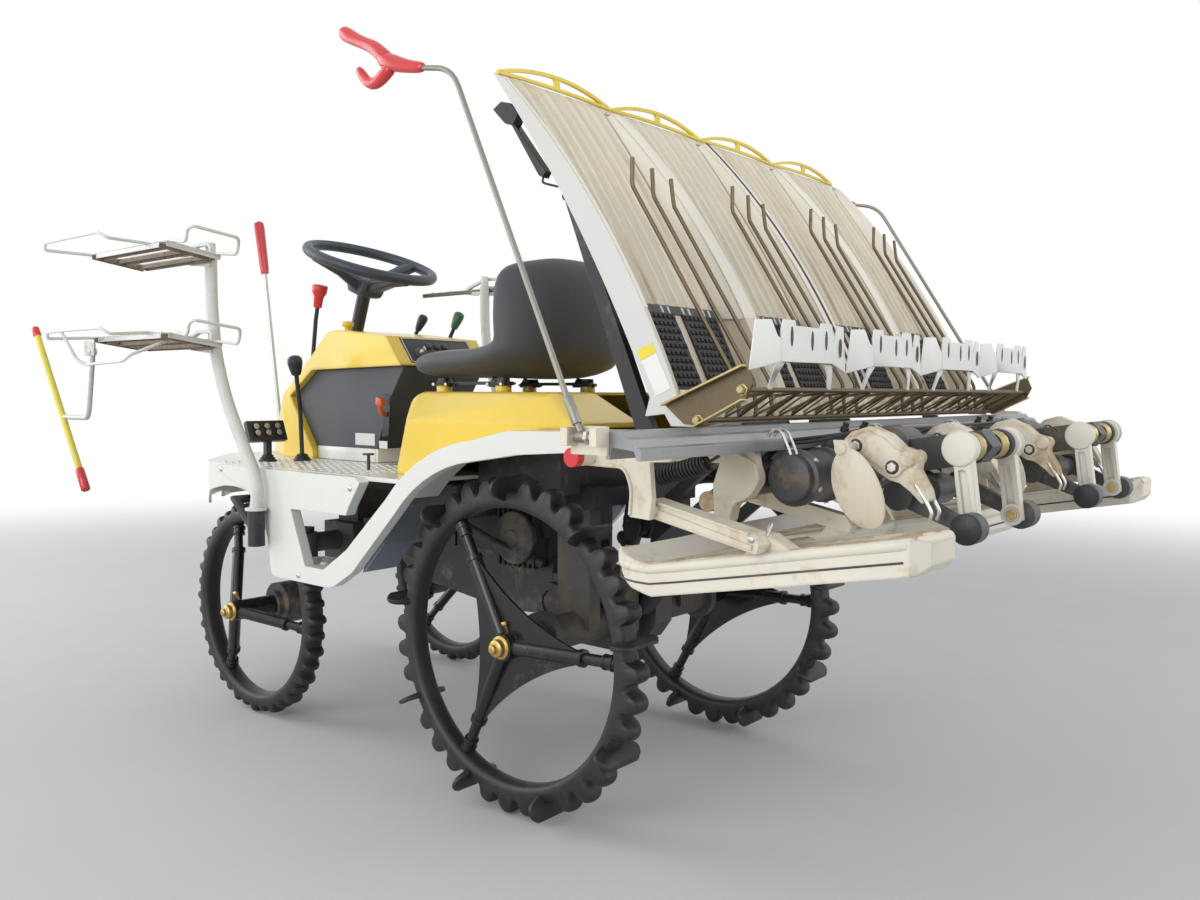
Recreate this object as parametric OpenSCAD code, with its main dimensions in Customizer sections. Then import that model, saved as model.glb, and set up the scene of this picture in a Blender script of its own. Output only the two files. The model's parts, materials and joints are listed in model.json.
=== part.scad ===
// Four-row riding rice transplanter, at its real size in millimetres.
// +X points forward, +Y to the driver's left, +Z up. The planting unit is raised, as it parks.
// Pieces are drawn from a line under the rear axle, and at_axle() moves them to the part's frame.

/* [Wheels and axles] */
// Distance from the rear axle to the front axle
wheelbase = 978; // [940:1:1020]
// Radius of the rear wheels over their lugs
rear_r = 346; // [330:1:350]
// Distance of a rear wheel's ring from the centre line
rear_ring_y = 374; // [366:1:390]
// Depth of a rear wheel's rubber ring under the lugs
rear_ring_depth = 38; // [30:1:46]
// Width of a rear wheel's rubber ring
rear_ring_w = 48; // [40:1:56]
// Width of a rear wheel's wide paddles
paddle_w = 120; // [96:2:128]
// Number of wide paddles on a rear wheel
paddle_count = 9; // [6:1:12]
// Round lugs between two paddles
knobs_between = 3; // [1:1:4]
// Radius of the front wheels over their lugs
front_r = 282; // [270:1:290]
// Distance of a front wheel's ring from the centre line
front_ring_y = 346; // [340:1:356]
// Depth of a front wheel's rubber ring under the lugs
front_ring_depth = 38; // [30:1:44]
// Width of a front wheel's rubber ring
front_ring_w = 52; // [44:1:58]
// Number of lugs on a front wheel
front_lug_count = 20; // [12:2:26]
// Distance of a kingpin from the centre line
kingpin_y = 200; // [190:1:214]
// Radius of the spoke tubes at the hub
spoke_r = 15; // [12:0.5:18]
// Radius of the wheel shafts
shaft_r = 16; // [12:0.5:20]

/* [Body] */
// Height of the floor of the driver's deck
floor_z = 667; // [655:1:675]
// Half width of the deck
deck_half_w = 420; // [410:1:424]
// Thickness of the body's plastic panels
skin = 5; // [3:0.5:7]
// Height of the top of the rear hood
hood_z = 857; // [850:1:866]
// Depth of the body's side flanges outside the deck
side_t = 26; // [20:1:29]
// Height of the foot step's underside
step_z = 405; // [396:1:420]
// Half width of the console between the driver's feet
console_half_w = 140; // [125:1:150]

/* [Driver's place] */
// Outer diameter of the steering wheel
steering_d = 380; // [350:2:400]
// Lean of the steering wheel's axis back from upright
steering_lean = 20; // [10:1:28]
// Height of the steering wheel's middle
steering_z = 1222; // [1200:1:1240]
// Width of the seat
seat_w = 430; // [400:2:450]
// Height of the underside of the seat
seat_z = 890; // [886:1:900]

/* [Racks and poles] */
// Outer diameter of the rack posts
post_d = 30; // [25:1:34]
// Distance of a rack post from the centre line
post_y = 472; // [468:1:480]
// Height of the upper shelf of a rack
upper_shelf_z = 1180; // [1150:1:1190]
// Height of the lower shelf of a rack
lower_shelf_z = 965; // [940:1:1000]
// Width of a shelf outwards from its post
shelf_w = 250; // [220:2:270]
// Length of a shelf along the machine
shelf_l = 300; // [260:2:320]
// Diameter of the wire loops of the racks
wire_d = 8; // [6:0.5:10]
// Height of the tip of the centre pole
pole_tip_z = 1396; // [1340:1:1410]
// Distance of the centre pole's tip ahead of the rear axle
pole_tip_x = 1514; // [1500:1:1520]

/* [Lift linkage] */
// Length of the lift links between their pivots
link_l = 500; // [480:1:506]
// Angle of the raised links above the level
link_up = 40; // [36:0.5:41]
// Height between the lower and the upper link pivots
link_rise = 130; // [120:1:136]
// Distance of the two lower links from the centre line
link_y = 118; // [110:1:124]
// Radius of the link pins
pin_r = 9; // [7:0.5:10]
// Radius of the lift cylinder's barrel
barrel_r = 24; // [20:0.5:27]
// Radius of the lift cylinder's rod
rod_r = 11; // [8:0.5:13]

/* [Planting unit] */
// Distance between neighbouring rows of plants
row_pitch = 300; // [290:1:302]
// Number of rows on each side of the centre line
rows_each_side = 2; // [2:1:2]
// Half length of the sliding rail
rail_half = 806; // [780:1:830]
// Height of the top of the sliding rail
rail_top = 808; // [806:0.5:810]
// Diameter of the cross tube of the planting unit
beam_d = 27; // [24:0.5:29]
// Half length of the cross tube, without its caps
beam_half = 690; // [670:1:720]
// Radius of the drive case's main tube
case_r = 27; // [22:0.5:29]
// Radius of the planting unit's cross shafts
cross_r = 17; // [14:0.5:18]
// Distance of a rocker from the middle of its planting unit
rocker_offset = 91; // [86:1:96]
// Thickness of a float
float_t = 46; // [40:1:50]
// Width of a side float
side_float_w = 286; // [270:1:296]
// Width of the centre float
centre_float_w = 440; // [400:2:460]

/* [Seedling tray] */
// Thickness of the tray's floor
tray_floor_t = 4; // [3:0.5:6]
// Thickness of the tray's side walls
row_wall_t = 9; // [6:0.5:12]
// Width of the ridges between the rows
ridge_w = 42; // [30:1:48]
// Height of the top edge of the tray
tray_top_z = 1390; // [1360:1:1393]
// Height of the top of the belt windows
window_top_z = 985; // [960:1:1000]
// Height of the bottom of the belt windows
window_low_z = 852; // [846:1:870]
// Width of one feed belt
belt_w = 100; // [90:1:104]
// Diameter of the press rods
press_d = 7; // [5:0.5:8]
// Distance between neighbouring press rods
press_pitch = 49; // [44:1:54]
// Width of a row's white cover
cover_w = 262; // [240:2:276]

/* [Line markers] */
// Height of the fork tip of a raised marker
marker_tip_z = 1468; // [1440:1:1480]
// Diameter of the marker rods
marker_d = 8; // [6:0.5:10]

/* [Hidden] */
$fn = 32;

// The part's frame has its origin under the middle of the whole length.
reach_ahead = pole_tip_x + 8;
cap_x = -934;
cap_r = 22;
reach_behind = -cap_x + cap_r;
axle_x = (reach_behind - reach_ahead) / 2;

// Gaps: between pieces that turn past each other, and round a shaft in its bore
gap = 5;
fit = 0.3;

// Wheels: heights, radii and places worked out from the driving sizes
rear_z = rear_r;
front_z = front_r;
rear_lug_h = 30;
front_lug_h = 16;
rear_ring_r = rear_r - rear_lug_h;
front_ring_r = front_r - front_lug_h;
housing_end_y = 300;
rear_hub_y = 405;
front_hub_y = 425;
final_case_y = 305;
spoke_angles = [58, 178, 298];
front_spoke_angles = [67, 187, 307];

// Lift linkage: pivots on the chassis and on the hitch frame
chassis_pivot = [-32, 414];
lift_dx = link_l * cos(link_up);
lift_dz = link_l * sin(link_up);
hitch_pivot = chassis_pivot + [-lift_dx, lift_dz];
link_t = 10;
barrel_pivot = [-47.4, 372.9];
eye_share = 0.7344;
eye_point = chassis_pivot + eye_share * [-lift_dx, lift_dz];
lift_vec = eye_point - barrel_pivot;
lift_len = norm(lift_vec);
lift_angle = atan2(lift_vec[1], -lift_vec[0]);
barrel_l = 260;
eye_play = 5.5;

// Planting unit: points in the plane along the machine, as [x, z]
beam_at = [-452, 762];
marker_y = rail_half + 14;
rail_x = -603;
rail_depth = 57;
rail_low = rail_top - 37;
case_at = [-625, 728];
shaft_at = [-907, 781];
disc_at = [-836, 712];
crank_at = [-782, 780];
case_half = 492;
rocker_t = 18;
arm_t = 34;
hinge_at = [-575, 800];
hinge_pin_r = 4;
cap_at = [cap_x, 671];
unit_y = row_pitch;
rows = [for (i = [-rows_each_side : rows_each_side - 1]) (i + 0.5) * row_pitch];
tray_half = rows_each_side * row_pitch + 4;

// Tray: its underside and its walls' edge are arcs, each with a centre [x, z] and a radius
under_c = [1970, -314];
under_r = 2749;
edge_r = 1609;
tray_low_z = 850;
wall_mid = [arc_x(under_c, under_r, 1120) - 52, 1120];
edge_c = [wall_mid[0] + sqrt(edge_r * edge_r - 894 * 894), wall_mid[1] - 894];
tray_run = 0.3;

function unit(v) = v / norm(v);
function arc_x(c, r, z) = c[0] - sqrt(r * r - (z - c[1]) * (z - c[1]));
function arc_line(c, r, z0, z1, n = 14) = [for (i = [0 : n]) let (z = z0 + (z1 - z0) * i / n) [arc_x(c, r, z), z]];
function reversed(p) = [for (i = [len(p) - 1 : -1 : 0]) p[i]];
function shifted(p, d) = [for (q = p) q + d];
function shrunk(p, k) = let (c = [for (j = [0, 1]) (max([for (q = p) q[j]]) + min([for (q = p) q[j]])) / 2]) [for (q = p) c + (q - c) * k];

module at_axle() translate([axle_x, 0, 0]) children();
module both_sides() {
    children();
    mirror([0, 1, 0]) children();
}
// An outline in the X-Z plane, made as thick as from y0 to y1
module slab(points, y0, y1) translate([0, y1, 0]) rotate([90, 0, 0]) linear_extrude(y1 - y0) polygon(points);
// A cylinder across the machine at [x, z]
module cross_bar(at, r, y0, y1) translate([at[0], y1, at[1]]) rotate([90, 0, 0]) cylinder(h = y1 - y0, r = r);
// A straight round rod from a to b
module rod(a, b, r) {
    v = b - a;
    translate(a) rotate([0, acos(v[2] / norm(v)), atan2(v[1], v[0])]) cylinder(h = norm(v), r = r);
}
module block(low, high) translate(low) cube(high - low);
// A bent round wire: a ring of points at each corner of the path, mitred there
function first_ring(p, r, n) = let (d = unit(p[1] - p[0]), h = abs(d[2]) < 0.9 ? [0, 0, 1] : [1, 0, 0],
    u = unit(cross(d, h)), v = cross(d, u)) [for (k = [0 : n - 1]) p[0] + r * (cos(360 * k / n) * u + sin(360 * k / n) * v)];
function rings(p, ring, i = 0) = i == len(p) - 1 ? [ring] :
    let (d = unit(p[i + 1] - p[i]), n = i + 2 < len(p) ? unit(d + unit(p[i + 2] - p[i + 1])) : d)
    concat([ring], rings(p, [for (q = ring) q + d * ((p[i + 1] - q) * n) / (d * n)], i + 1));
module wire(p, r, sides = 8) {
    rs = rings(p, first_ring(p, r, sides));
    m = len(p);
    polyhedron(points = [for (ring = rs) each ring], faces = concat(
        [[for (k = [0 : sides - 1]) k]],
        [for (i = [0 : m - 2]) for (k = [0 : sides - 1])
            [i * sides + k, (i + 1) * sides + k, (i + 1) * sides + (k + 1) % sides, i * sides + (k + 1) % sides]],
        [[for (k = [sides - 1 : -1 : 0]) (m - 1) * sides + k]]));
}

// Wheels are drawn with their axle along Z and turned so that it runs along Y
module wheel_place(x, y, z) translate([x, y, z]) rotate([-90, 0, 0]) children();
module ring_section(r, depth, w) polygon([[r - depth, -0.28 * w], [r - 0.84 * depth, -0.45 * w],
    [r - 0.4 * depth, -0.5 * w], [r - 0.1 * depth, -0.42 * w], [r, -0.24 * w], [r, 0.24 * w],
    [r - 0.1 * depth, 0.42 * w], [r - 0.4 * depth, 0.5 * w], [r - 0.84 * depth, 0.45 * w], [r - depth, 0.28 * w]]);

// Rear rubber ring: round lugs and wide paddles stand on a moulded ring
module rear_tyre() {
    lug_count = paddle_count * (knobs_between + 1);
    step = 360 / lug_count;
    first = 90 - 2 * step;
    knob_l = 28;
    paddle_t = 12;
    wheel_place(0, rear_ring_y, rear_z) {
        rotate_extrude($fn = 96) ring_section(rear_ring_r, rear_ring_depth, rear_ring_w);
        translate([0, 0, -0.42 * rear_ring_w]) linear_extrude(0.84 * rear_ring_w) intersection() {
            circle(r = rear_r, $fn = 96);
            for (i = [0 : lug_count - 1]) if (i % (knobs_between + 1) != 0) rotate(first + i * step)
                polygon([[rear_ring_r - 8, -0.78 * knob_l], [rear_r - 16, -0.36 * knob_l], [rear_r - 4, -0.3 * knob_l],
                    [rear_r + 2, -0.1 * knob_l], [rear_r + 2, 0.14 * knob_l], [rear_r - 16, 0.34 * knob_l],
                    [rear_ring_r - 8, 0.62 * knob_l]]);
        }
        for (i = [0 : paddle_count - 1]) rotate([0, 0, first + i * (knobs_between + 1) * step])
            translate([0, 0.5 * paddle_t, 0]) rotate([90, 0, 0]) linear_extrude(paddle_t)
                polygon([[rear_ring_r - 22, -0.3 * rear_ring_w], [rear_ring_r - 10, -0.5 * paddle_w],
                    [rear_ring_r + 8, -0.52 * paddle_w], [rear_r - 1, -0.34 * paddle_w], [rear_r - 1, 0.34 * paddle_w],
                    [rear_ring_r + 8, 0.52 * paddle_w], [rear_ring_r - 10, 0.5 * paddle_w], [rear_ring_r - 22, 0.3 * rear_ring_w]]);
    }
}
// Front rubber ring with straight lugs
module front_tyre() {
    lug_l = 12;
    wheel_place(wheelbase, front_ring_y, front_z) {
        rotate_extrude($fn = 96) ring_section(front_ring_r, front_ring_depth, front_ring_w);
        translate([0, 0, -0.5 * front_ring_w]) linear_extrude(front_ring_w) intersection() {
            circle(r = front_r, $fn = 96);
            for (i = [0 : front_lug_count - 1]) rotate(90 + i * 360 / front_lug_count)
                polygon([[front_ring_r - 8, -0.8 * lug_l], [front_r + 2, -0.4 * lug_l],
                    [front_r + 2, 0.4 * lug_l], [front_ring_r - 8, 0.8 * lug_l]]);
        }
    }
}
// Spokes from the hub out to the inner face of the ring, in two tube sizes with a collar at the ring
module spokes(angles, inner_r, hub_rise) for (a = angles) rotate([0, 0, -a]) intersection() {
    union() {
        rod([1.25 * spoke_r, 0, hub_rise], [0.7 * inner_r, 0, 0.3 * hub_rise], spoke_r);
        rod([0.7 * inner_r, 0, 0.3 * hub_rise], [inner_r + 10, 0, 0], 0.75 * spoke_r);
        rod([0.9 * inner_r, 0, 0.1 * hub_rise], [inner_r + 10, 0, 0], 0.95 * spoke_r);
    }
    translate([0, 0, -60]) cylinder(h = 200, r = inner_r - 0.1, $fn = 96);
}
// Rear wheel: three spokes, a plate with hollow sides between them, and a hub on its shaft
module rear_wheel() {
    inner_r = rear_ring_r - rear_ring_depth;
    plate_r = 0.8 * inner_r;
    waist = 0.3 * inner_r;
    tip_w = 30;
    half_side = plate_r * sin(60) - tip_w / 2;
    cut_r = (half_side * half_side + pow(plate_r * cos(60) - waist, 2)) / (2 * (plate_r * cos(60) - waist));
    hub_rise = 14;
    hub_in = housing_end_y + gap - rear_ring_y;
    wheel_place(0, rear_ring_y, rear_z) {
        spokes(spoke_angles, inner_r, hub_rise);
        translate([0, 0, 0.5 * hub_rise - 3]) linear_extrude(6) difference() {
            polygon([for (a = spoke_angles) plate_r * [cos(-a), sin(-a)]]);
            for (a = spoke_angles) rotate(-a - 60) translate([waist + cut_r, 0]) circle(r = cut_r, $fn = 120);
        }
        translate([0, 0, hub_in]) cylinder(h = rear_hub_y - rear_ring_y - hub_in, r = shaft_r + 12);
        translate([0, 0, hub_in - 50]) cylinder(h = 60, r = shaft_r);
    }
}
module front_wheel() {
    inner_r = front_ring_r - front_ring_depth;
    hub_in = final_case_y + gap - front_ring_y;
    wheel_place(wheelbase, front_ring_y, front_z) {
        spokes(front_spoke_angles, inner_r, 62);
        translate([0, 0, hub_in]) cylinder(h = front_hub_y - front_ring_y - hub_in, r = shaft_r + 10);
        translate([0, 0, hub_in - 40]) cylinder(h = 50, r = shaft_r);
    }
}
module front_tyre_left() color("#1d1d1f") at_axle() front_tyre();
module front_tyre_right() color("#1d1d1f") at_axle() mirror([0, 1, 0]) front_tyre();
module rear_tyre_left() color("#1d1d1f") at_axle() rear_tyre();
module rear_tyre_right() color("#1d1d1f") at_axle() mirror([0, 1, 0]) rear_tyre();
module front_wheel_left() color("#101012") at_axle() front_wheel();
module front_wheel_right() color("#101012") at_axle() mirror([0, 1, 0]) front_wheel();
module rear_wheel_left() color("#101012") at_axle() rear_wheel();
module rear_wheel_right() color("#101012") at_axle() mirror([0, 1, 0]) rear_wheel();

// Front axle: a gear case in the middle, a tube to each kingpin housing
king_low = front_z + 122;
king_high = king_low + 62;
king_r = 34;
king_pin_r = 15;
axle_tube_z = (king_low + king_high) / 2;
module front_axle() color("#4a4744") at_axle() {
    difference() {
        union() {
            block([wheelbase - 75, -95, axle_tube_z - 55], [wheelbase + 60, 95, axle_tube_z + 50]);
            cross_bar([wheelbase, axle_tube_z], 27, -kingpin_y + king_r / 2, kingpin_y - king_r / 2);
            both_sides() translate([wheelbase, kingpin_y, king_low]) cylinder(h = king_high - king_low, r = king_r);
        }
        both_sides() translate([wheelbase, kingpin_y, king_low - 1]) cylinder(h = king_high - king_low + 2, r = king_pin_r + fit);
    }
    block([wheelbase - 50, -60, axle_tube_z + 50], [wheelbase + 40, 60, frame_low - fit]);
    block([wheelbase - 50, -rail_y - 36, frame_low - 16], [wheelbase + 40, rail_y + 36, frame_low - fit]);
}
// Steering knuckle: kingpin, its case and the final drive case that carries the wheel's shaft
module knuckle() {
    difference() {
        union() {
            translate([wheelbase, kingpin_y, front_z - 44]) cylinder(h = king_low - 2 - front_z + 44, r = king_r);
            cross_bar([wheelbase, front_z], 56, kingpin_y + 30, final_case_y - 14);
            cross_bar([wheelbase, front_z], 36, kingpin_y, final_case_y);
            translate([wheelbase, kingpin_y, front_z]) cylinder(h = king_high - front_z + 14, r = king_pin_r);
            translate([wheelbase, kingpin_y, king_high + 2]) cylinder(h = 12, r = king_pin_r + 10);
            block([wheelbase - 96, kingpin_y - 34, king_low - 40], [wheelbase - 20, kingpin_y + 6, king_low - 26]);
        }
        cross_bar([wheelbase, front_z], shaft_r + fit, final_case_y - 48, final_case_y + 1);
    }
}
module knuckle_left() color("#3d3b39") at_axle() knuckle();
module knuckle_right() color("#3d3b39") at_axle() mirror([0, 1, 0]) knuckle();

// Rear axle: a wide gear case, a tube to each wheel and the lift pivots behind it
axle_r = 36;
axle_case_front = 144;
module rear_axle() color("#55514b") at_axle() {
    cross_bar(barrel_pivot, pin_r, -barrel_r - 12, barrel_r + 12);
    both_sides() {
        cross_bar(chassis_pivot, pin_r, 80, link_y + 3);
        cross_bar(chassis_pivot, pin_r + 6, link_y + 3, link_y + 8);
    }
    difference() {
        union() {
            cross_bar([0, rear_z], axle_r, -housing_end_y, housing_end_y);
            both_sides() cross_bar([0, rear_z], axle_r + 16, housing_end_y - 26, housing_end_y - 6);
            slab([[axle_case_front, rear_z + 92], [-60, rear_z + 92], [-60, rear_z - 20], [-30, rear_z - 60],
                [60, rear_z - 60], [axle_case_front, rear_z + 16]], -94, 94);
            both_sides() block([-46, rail_y, rear_z], [46, rail_y + 36, frame_low]);
        }
        both_sides() cross_bar([0, rear_z], shaft_r + fit, housing_end_y - 55, housing_end_y + 1);
        block([-61, -barrel_r - 8, rear_z - 61], [-14, barrel_r + 8, rear_z + 93]);
    }
}

// Frame: two rails under the deck, cross members and the lift pivots
frame_low = 606;
frame_high = floor_z - 2 * skin - fit;
rail_y = 150;
frame_rear = -60;
frame_front = 1290;
carrier_x = 866;
carrier_z = 586;
post_x = 776;
sleeve_low = 480;
sleeve_top = 566;
module chassis_frame() color("#1a1a1c") at_axle() {
    both_sides() block([frame_rear, rail_y, frame_low], [frame_front, rail_y + 36, frame_high]);
    for (x = [frame_rear, 500, 1200]) block([x, -rail_y, frame_low + 6], [x + 40, rail_y, frame_high - 4]);
    upper = chassis_pivot + [0, link_rise];
    cross_bar(upper, pin_r, -28, 28);
    both_sides() {
        slab([[frame_rear, frame_low + 8], upper + [-24, 10], upper + [-14, -20], upper + [14, -20], upper + [24, 10],
            [frame_rear + 40, frame_low + 8]], 18, 28);
        // arm and sleeve that carry a rack post
        block([carrier_x - 14, rail_y + 4, carrier_z - 11], [carrier_x + 14, rail_y + 32, frame_low]);
        wire([[carrier_x, rail_y + 10, carrier_z], [carrier_x, post_y, carrier_z], [post_x + 10, post_y, sleeve_low + 40]], 11);
        translate([post_x, post_y, sleeve_low]) cylinder(h = sleeve_top - sleeve_low, r = post_d / 2 + 5);
    }
    block([1210, -110, 560], [1240, 110, frame_low + 6]);
}

// Engine under the seat: a plain block with a finned barrel on its left
module engine() color("#35322f") at_axle() {
    block([150, -130, gearbox_top], [470, 96, 700]);
    for (i = [0 : 7]) block([160 + i * 16, 96, 450], [167 + i * 16, 142, 610]);
    block([150, 96, 520], [290, 116, 560]);
}
gearbox_top = 469;
module gearbox() color("#2b2a2a") at_axle() difference() {
    union() {
        slab([[axle_case_front + fit, 340], [300, 330], [640, 372], [700, 420], [700, 560], [480, 600], [480, gearbox_top],
            [axle_case_front + fit, gearbox_top]], -95, 95);
        block([700, -60, 440], [wheelbase - 75 - fit, 60, 500]);
        cross_bar([118, 376], 46, 95, 128);
    }
    cross_bar([118, 376], 30, 122, 130);
}

// Deck: a floor with a skirt round its nose, cut back over the front wheels
deck_rear = 262;
skirt_low = 548;
arch_gap = 46;
function deck_plan(g) = [[deck_rear + g, deck_half_w - g], [1085 - g, deck_half_w - g], [1180 - g, 372 - g],
    [1385 - g, 190 - g], [1404 - g, 130 - g], [1404 - g, -130 + g], [1385 - g, -190 + g], [1180 - g, -372 + g],
    [1085 - g, -deck_half_w + g], [deck_rear + g, -deck_half_w + g]];
module deck() color("#e9e8e2") at_axle() difference() {
    translate([0, 0, skirt_low]) linear_extrude(floor_z - skirt_low) polygon(deck_plan(0));
    translate([0, 0, skirt_low - 1]) linear_extrude(floor_z - skirt_low - 2 * skin + 1) polygon(deck_plan(skin));
    cross_bar([wheelbase, front_z], front_r + arch_gap, -deck_half_w - 1, deck_half_w + 1);
    block([deck_rear - 1, -deck_half_w - 1, skirt_low - 1], [wheelbase - 100, deck_half_w + 1, floor_z - 2 * skin]);
    block([1180, -376, skirt_low - 1], [1300, 376, skirt_low + 20]);
    block([deck_rear - 1, -160, floor_z - 3 * skin], [690, 160, floor_z + 1]);
    cross_bar([0, rear_z], arch_r + band_w + fit, -deck_half_w - 1, deck_half_w + 1, $fn = 120);
}

// Side panels: an arched fender over each rear wheel, joined to a foot step
arch_r = 375;
band_w = 42;
side_in = deck_half_w + fit;
side_y = deck_half_w + side_t;
tread_z = step_z + 40;
arch_line = [for (a = [42 : 6 : 84]) [arch_r * cos(a), rear_z + arch_r * sin(a)]];
band_line = [for (a = [84 : -6 : 42]) [(arch_r + band_w) * cos(a), rear_z + (arch_r + band_w) * sin(a)]];
arch_rear = [[-88, 738], [-286, 752]];
band_rear = [[-268, 787], [-60, 783]];
module side_panel() {
    // outer flange of the fender down to the step
    slab(concat([[524, step_z], [500, step_z + 6], [432, 450]], arch_line, arch_rear, band_rear, band_line,
        [[452, 500], [540, tread_z], [612, tread_z], [669, 576], [452, 578], [440, 600], [400, 655], [420, floor_z - 1]],
        [for (p = [[32, floor_z - 1], [-6, 640], [-118, 610], [-178, 560], [-208, 500], [-222, 414], [-234, step_z]])
            p + [wheelbase, 0]]), side_in, side_y);
    // the fender's shoulder, a sheet that runs inwards under the hood
    slab(concat(reversed(band_line), reversed(band_rear), shifted(band_rear, [0, -skin]),
        [for (a = [84 : -6 : 42]) [0, rear_z] + (arch_r + band_w - skin) * [cos(a), sin(a)]]), 300, side_in);
    // tread of the step, its corner cut back for the front wheel
    translate([0, 0, tread_z - skin]) linear_extrude(skin) polygon([[530, side_in - 90], [wheelbase - 276, side_in - 90],
        [wheelbase - 236, side_in - 30], [wheelbase - 236, side_in], [530, side_in]]);
}
module side_panels() color("#e9e8e2") at_axle() both_sides() side_panel();

// Hood under the seat: a rounded shell with four bosses for the seat's mount
hood_half_w = 352;
boss_at = [[455, 150], [250, 150]];
module dome(inset) hull() {
    for (s = [-1, 1]) {
        for (p = [[395, 250], [-30, 280]]) translate([p[0], s * p[1], hood_z - 46]) sphere(r = 46 - inset, $fn = 24);
        translate([505, s * 150, 800]) sphere(r = 40 - inset, $fn = 24);
        for (p = [[345, 330], [-140, 330]]) translate([p[0], s * p[1], 788]) cylinder(h = 8, r = 22 - inset, $fn = 24);
        for (p = [[538, 170], [400, 312], [250, 326]]) translate([p[0], s * p[1], floor_z]) cylinder(h = 20, r = 22 - inset, $fn = 24);
    }
}
module rear_hood() color("#f0c81e") at_axle() {
    difference() {
        dome(0);
        translate([0, 0, -1]) dome(skin);
        block([-300, -170, 700], [-20, 170, 900]);
        block([-400, -400, 500], [700, 400, floor_z + fit]);
        cross_bar([0, rear_z], arch_r + band_w + fit, -400, 400, $fn = 120);
        slab([[-400, 600], [-400, band_rear[0][1] + fit], band_rear[0] + [0, fit], band_rear[1] + [0, fit],
            band_line[0] + [0, fit], [band_line[0][0], 600]], -400, 400);
    }
    for (p = boss_at) both_sides() translate([p[0], p[1], hood_z - 16]) cylinder(h = 30, r = 19);
}

// Console between the feet, and the bonnet ahead of it
console_side = [[1105, 842], [1000, 914], [620, 922], [680, 834], [735, 702], [735, floor_z], [996, floor_z], [996, 690]];
bonnet_side = [[1320, floor_z], [1285, 700], [1180, 818], [1060, 905], [925, 1016], [880, 1022], [672, 1000],
    [612, 923], [1000, 915], [1106, 843], [997, 690], [997, floor_z]];
module console() color("#3b3d42") at_axle() difference() {
    slab(console_side, -console_half_w, console_half_w);
    slab(shrunk(console_side, 0.95), -console_half_w + skin, console_half_w - skin);
    block([740, -console_half_w + skin, floor_z - 1], [990, console_half_w - skin, floor_z + 20]);
}
bonnet_rim = 18;
bonnet_half_w = console_half_w + bonnet_rim;
bonnet_inner = [[1296, floor_z - 8], [1266, 706], [1168, 816], [1052, 899], [920, 1009], [882, 1015], [679, 993],
    [630, 930], [1003, 921], [1115, 845], [1004, 688], [1004, floor_z - 8]];
// The bonnet narrows towards the nose: the space outside its slanted sides
module beside_nose(in) both_sides() translate([1320 - in, console_half_w - 62, 600]) rotate([0, 0, -24])
    translate([-220, 0, 0]) cube([400, 200, 500]);
module bonnet() color("#f0c81e") at_axle() difference() {
    slab(bonnet_side, -bonnet_half_w, bonnet_half_w);
    beside_nose(0);
    difference() {
        slab(bonnet_inner, -bonnet_half_w + skin, bonnet_half_w - skin);
        beside_nose(3 * skin);
    }
    column_line(column_r + fit);
}
wheel_mid = [937, steering_z];
hub_drop = 108;
column_r = 19;
module column_line(r) translate([wheel_mid[0], 0, wheel_mid[1]]) rotate([0, -steering_lean, 0])
    translate([0, 0, -hub_drop - 320]) cylinder(h = 320 + 18 - fit, r = r);
module steering_column() color("#1f1f22") at_axle() difference() {
    column_line(column_r);
    slab(shifted(console_side, [0, fit]), -100, 100);
    block([900, -60, 500], [1200, 60, 840]);
}
// Steering wheel: a round rim on two broad spokes that drop to the hub
module steering_wheel() color("#2a3038") at_axle()
    translate([wheel_mid[0], 0, wheel_mid[1]]) rotate([0, -steering_lean, 0]) {
        rotate_extrude($fn = 64) translate([steering_d / 2 - 14, 0]) circle(r = 14, $fn = 24);
        translate([0, 0, -hub_drop + 18]) cylinder(h = 44, r = 34);
        for (s = [-1, 1]) rod([0, s * 14, -hub_drop + 44], [22, s * (steering_d / 2 - 20), -4], 15);
        rod([0, 0, -hub_drop + 44], [-(steering_d / 2 - 20), 0, -4], 15);
    }

// Seat: a pan and a back in one moulding, on two brackets
module seat_form(w, low, high) for (s = [-1, 1]) {
    translate([low[0], s * (w / 2 - 30), low[1]]) sphere(r = 30, $fn = 24);
    translate([high[0], s * (w / 2 - 30), high[1]]) sphere(r = 30, $fn = 24);
}
module seat() color("#33363b") at_axle() {
    hull() seat_form(seat_w, [480, seat_z + 30], [150, seat_z + 30]);
    hull() {
        seat_form(seat_w, [128, seat_z + 30], [150, seat_z + 60]);
        seat_form(seat_w - 60, [232, seat_z + 262], [215, seat_z + 240]);
        seat_form(seat_w, [190, seat_z + 180], [165, seat_z + 200]);
    }
}
module seat_mount() color("#1c1c1e") at_axle() {
    for (p = boss_at) both_sides() translate([p[0], p[1], hood_z + 14]) cylinder(h = seat_z - hood_z - 14, r = 15);
    both_sides() block([230, 136, hood_z + 16], [475, 150, hood_z + 24]);
}

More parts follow.
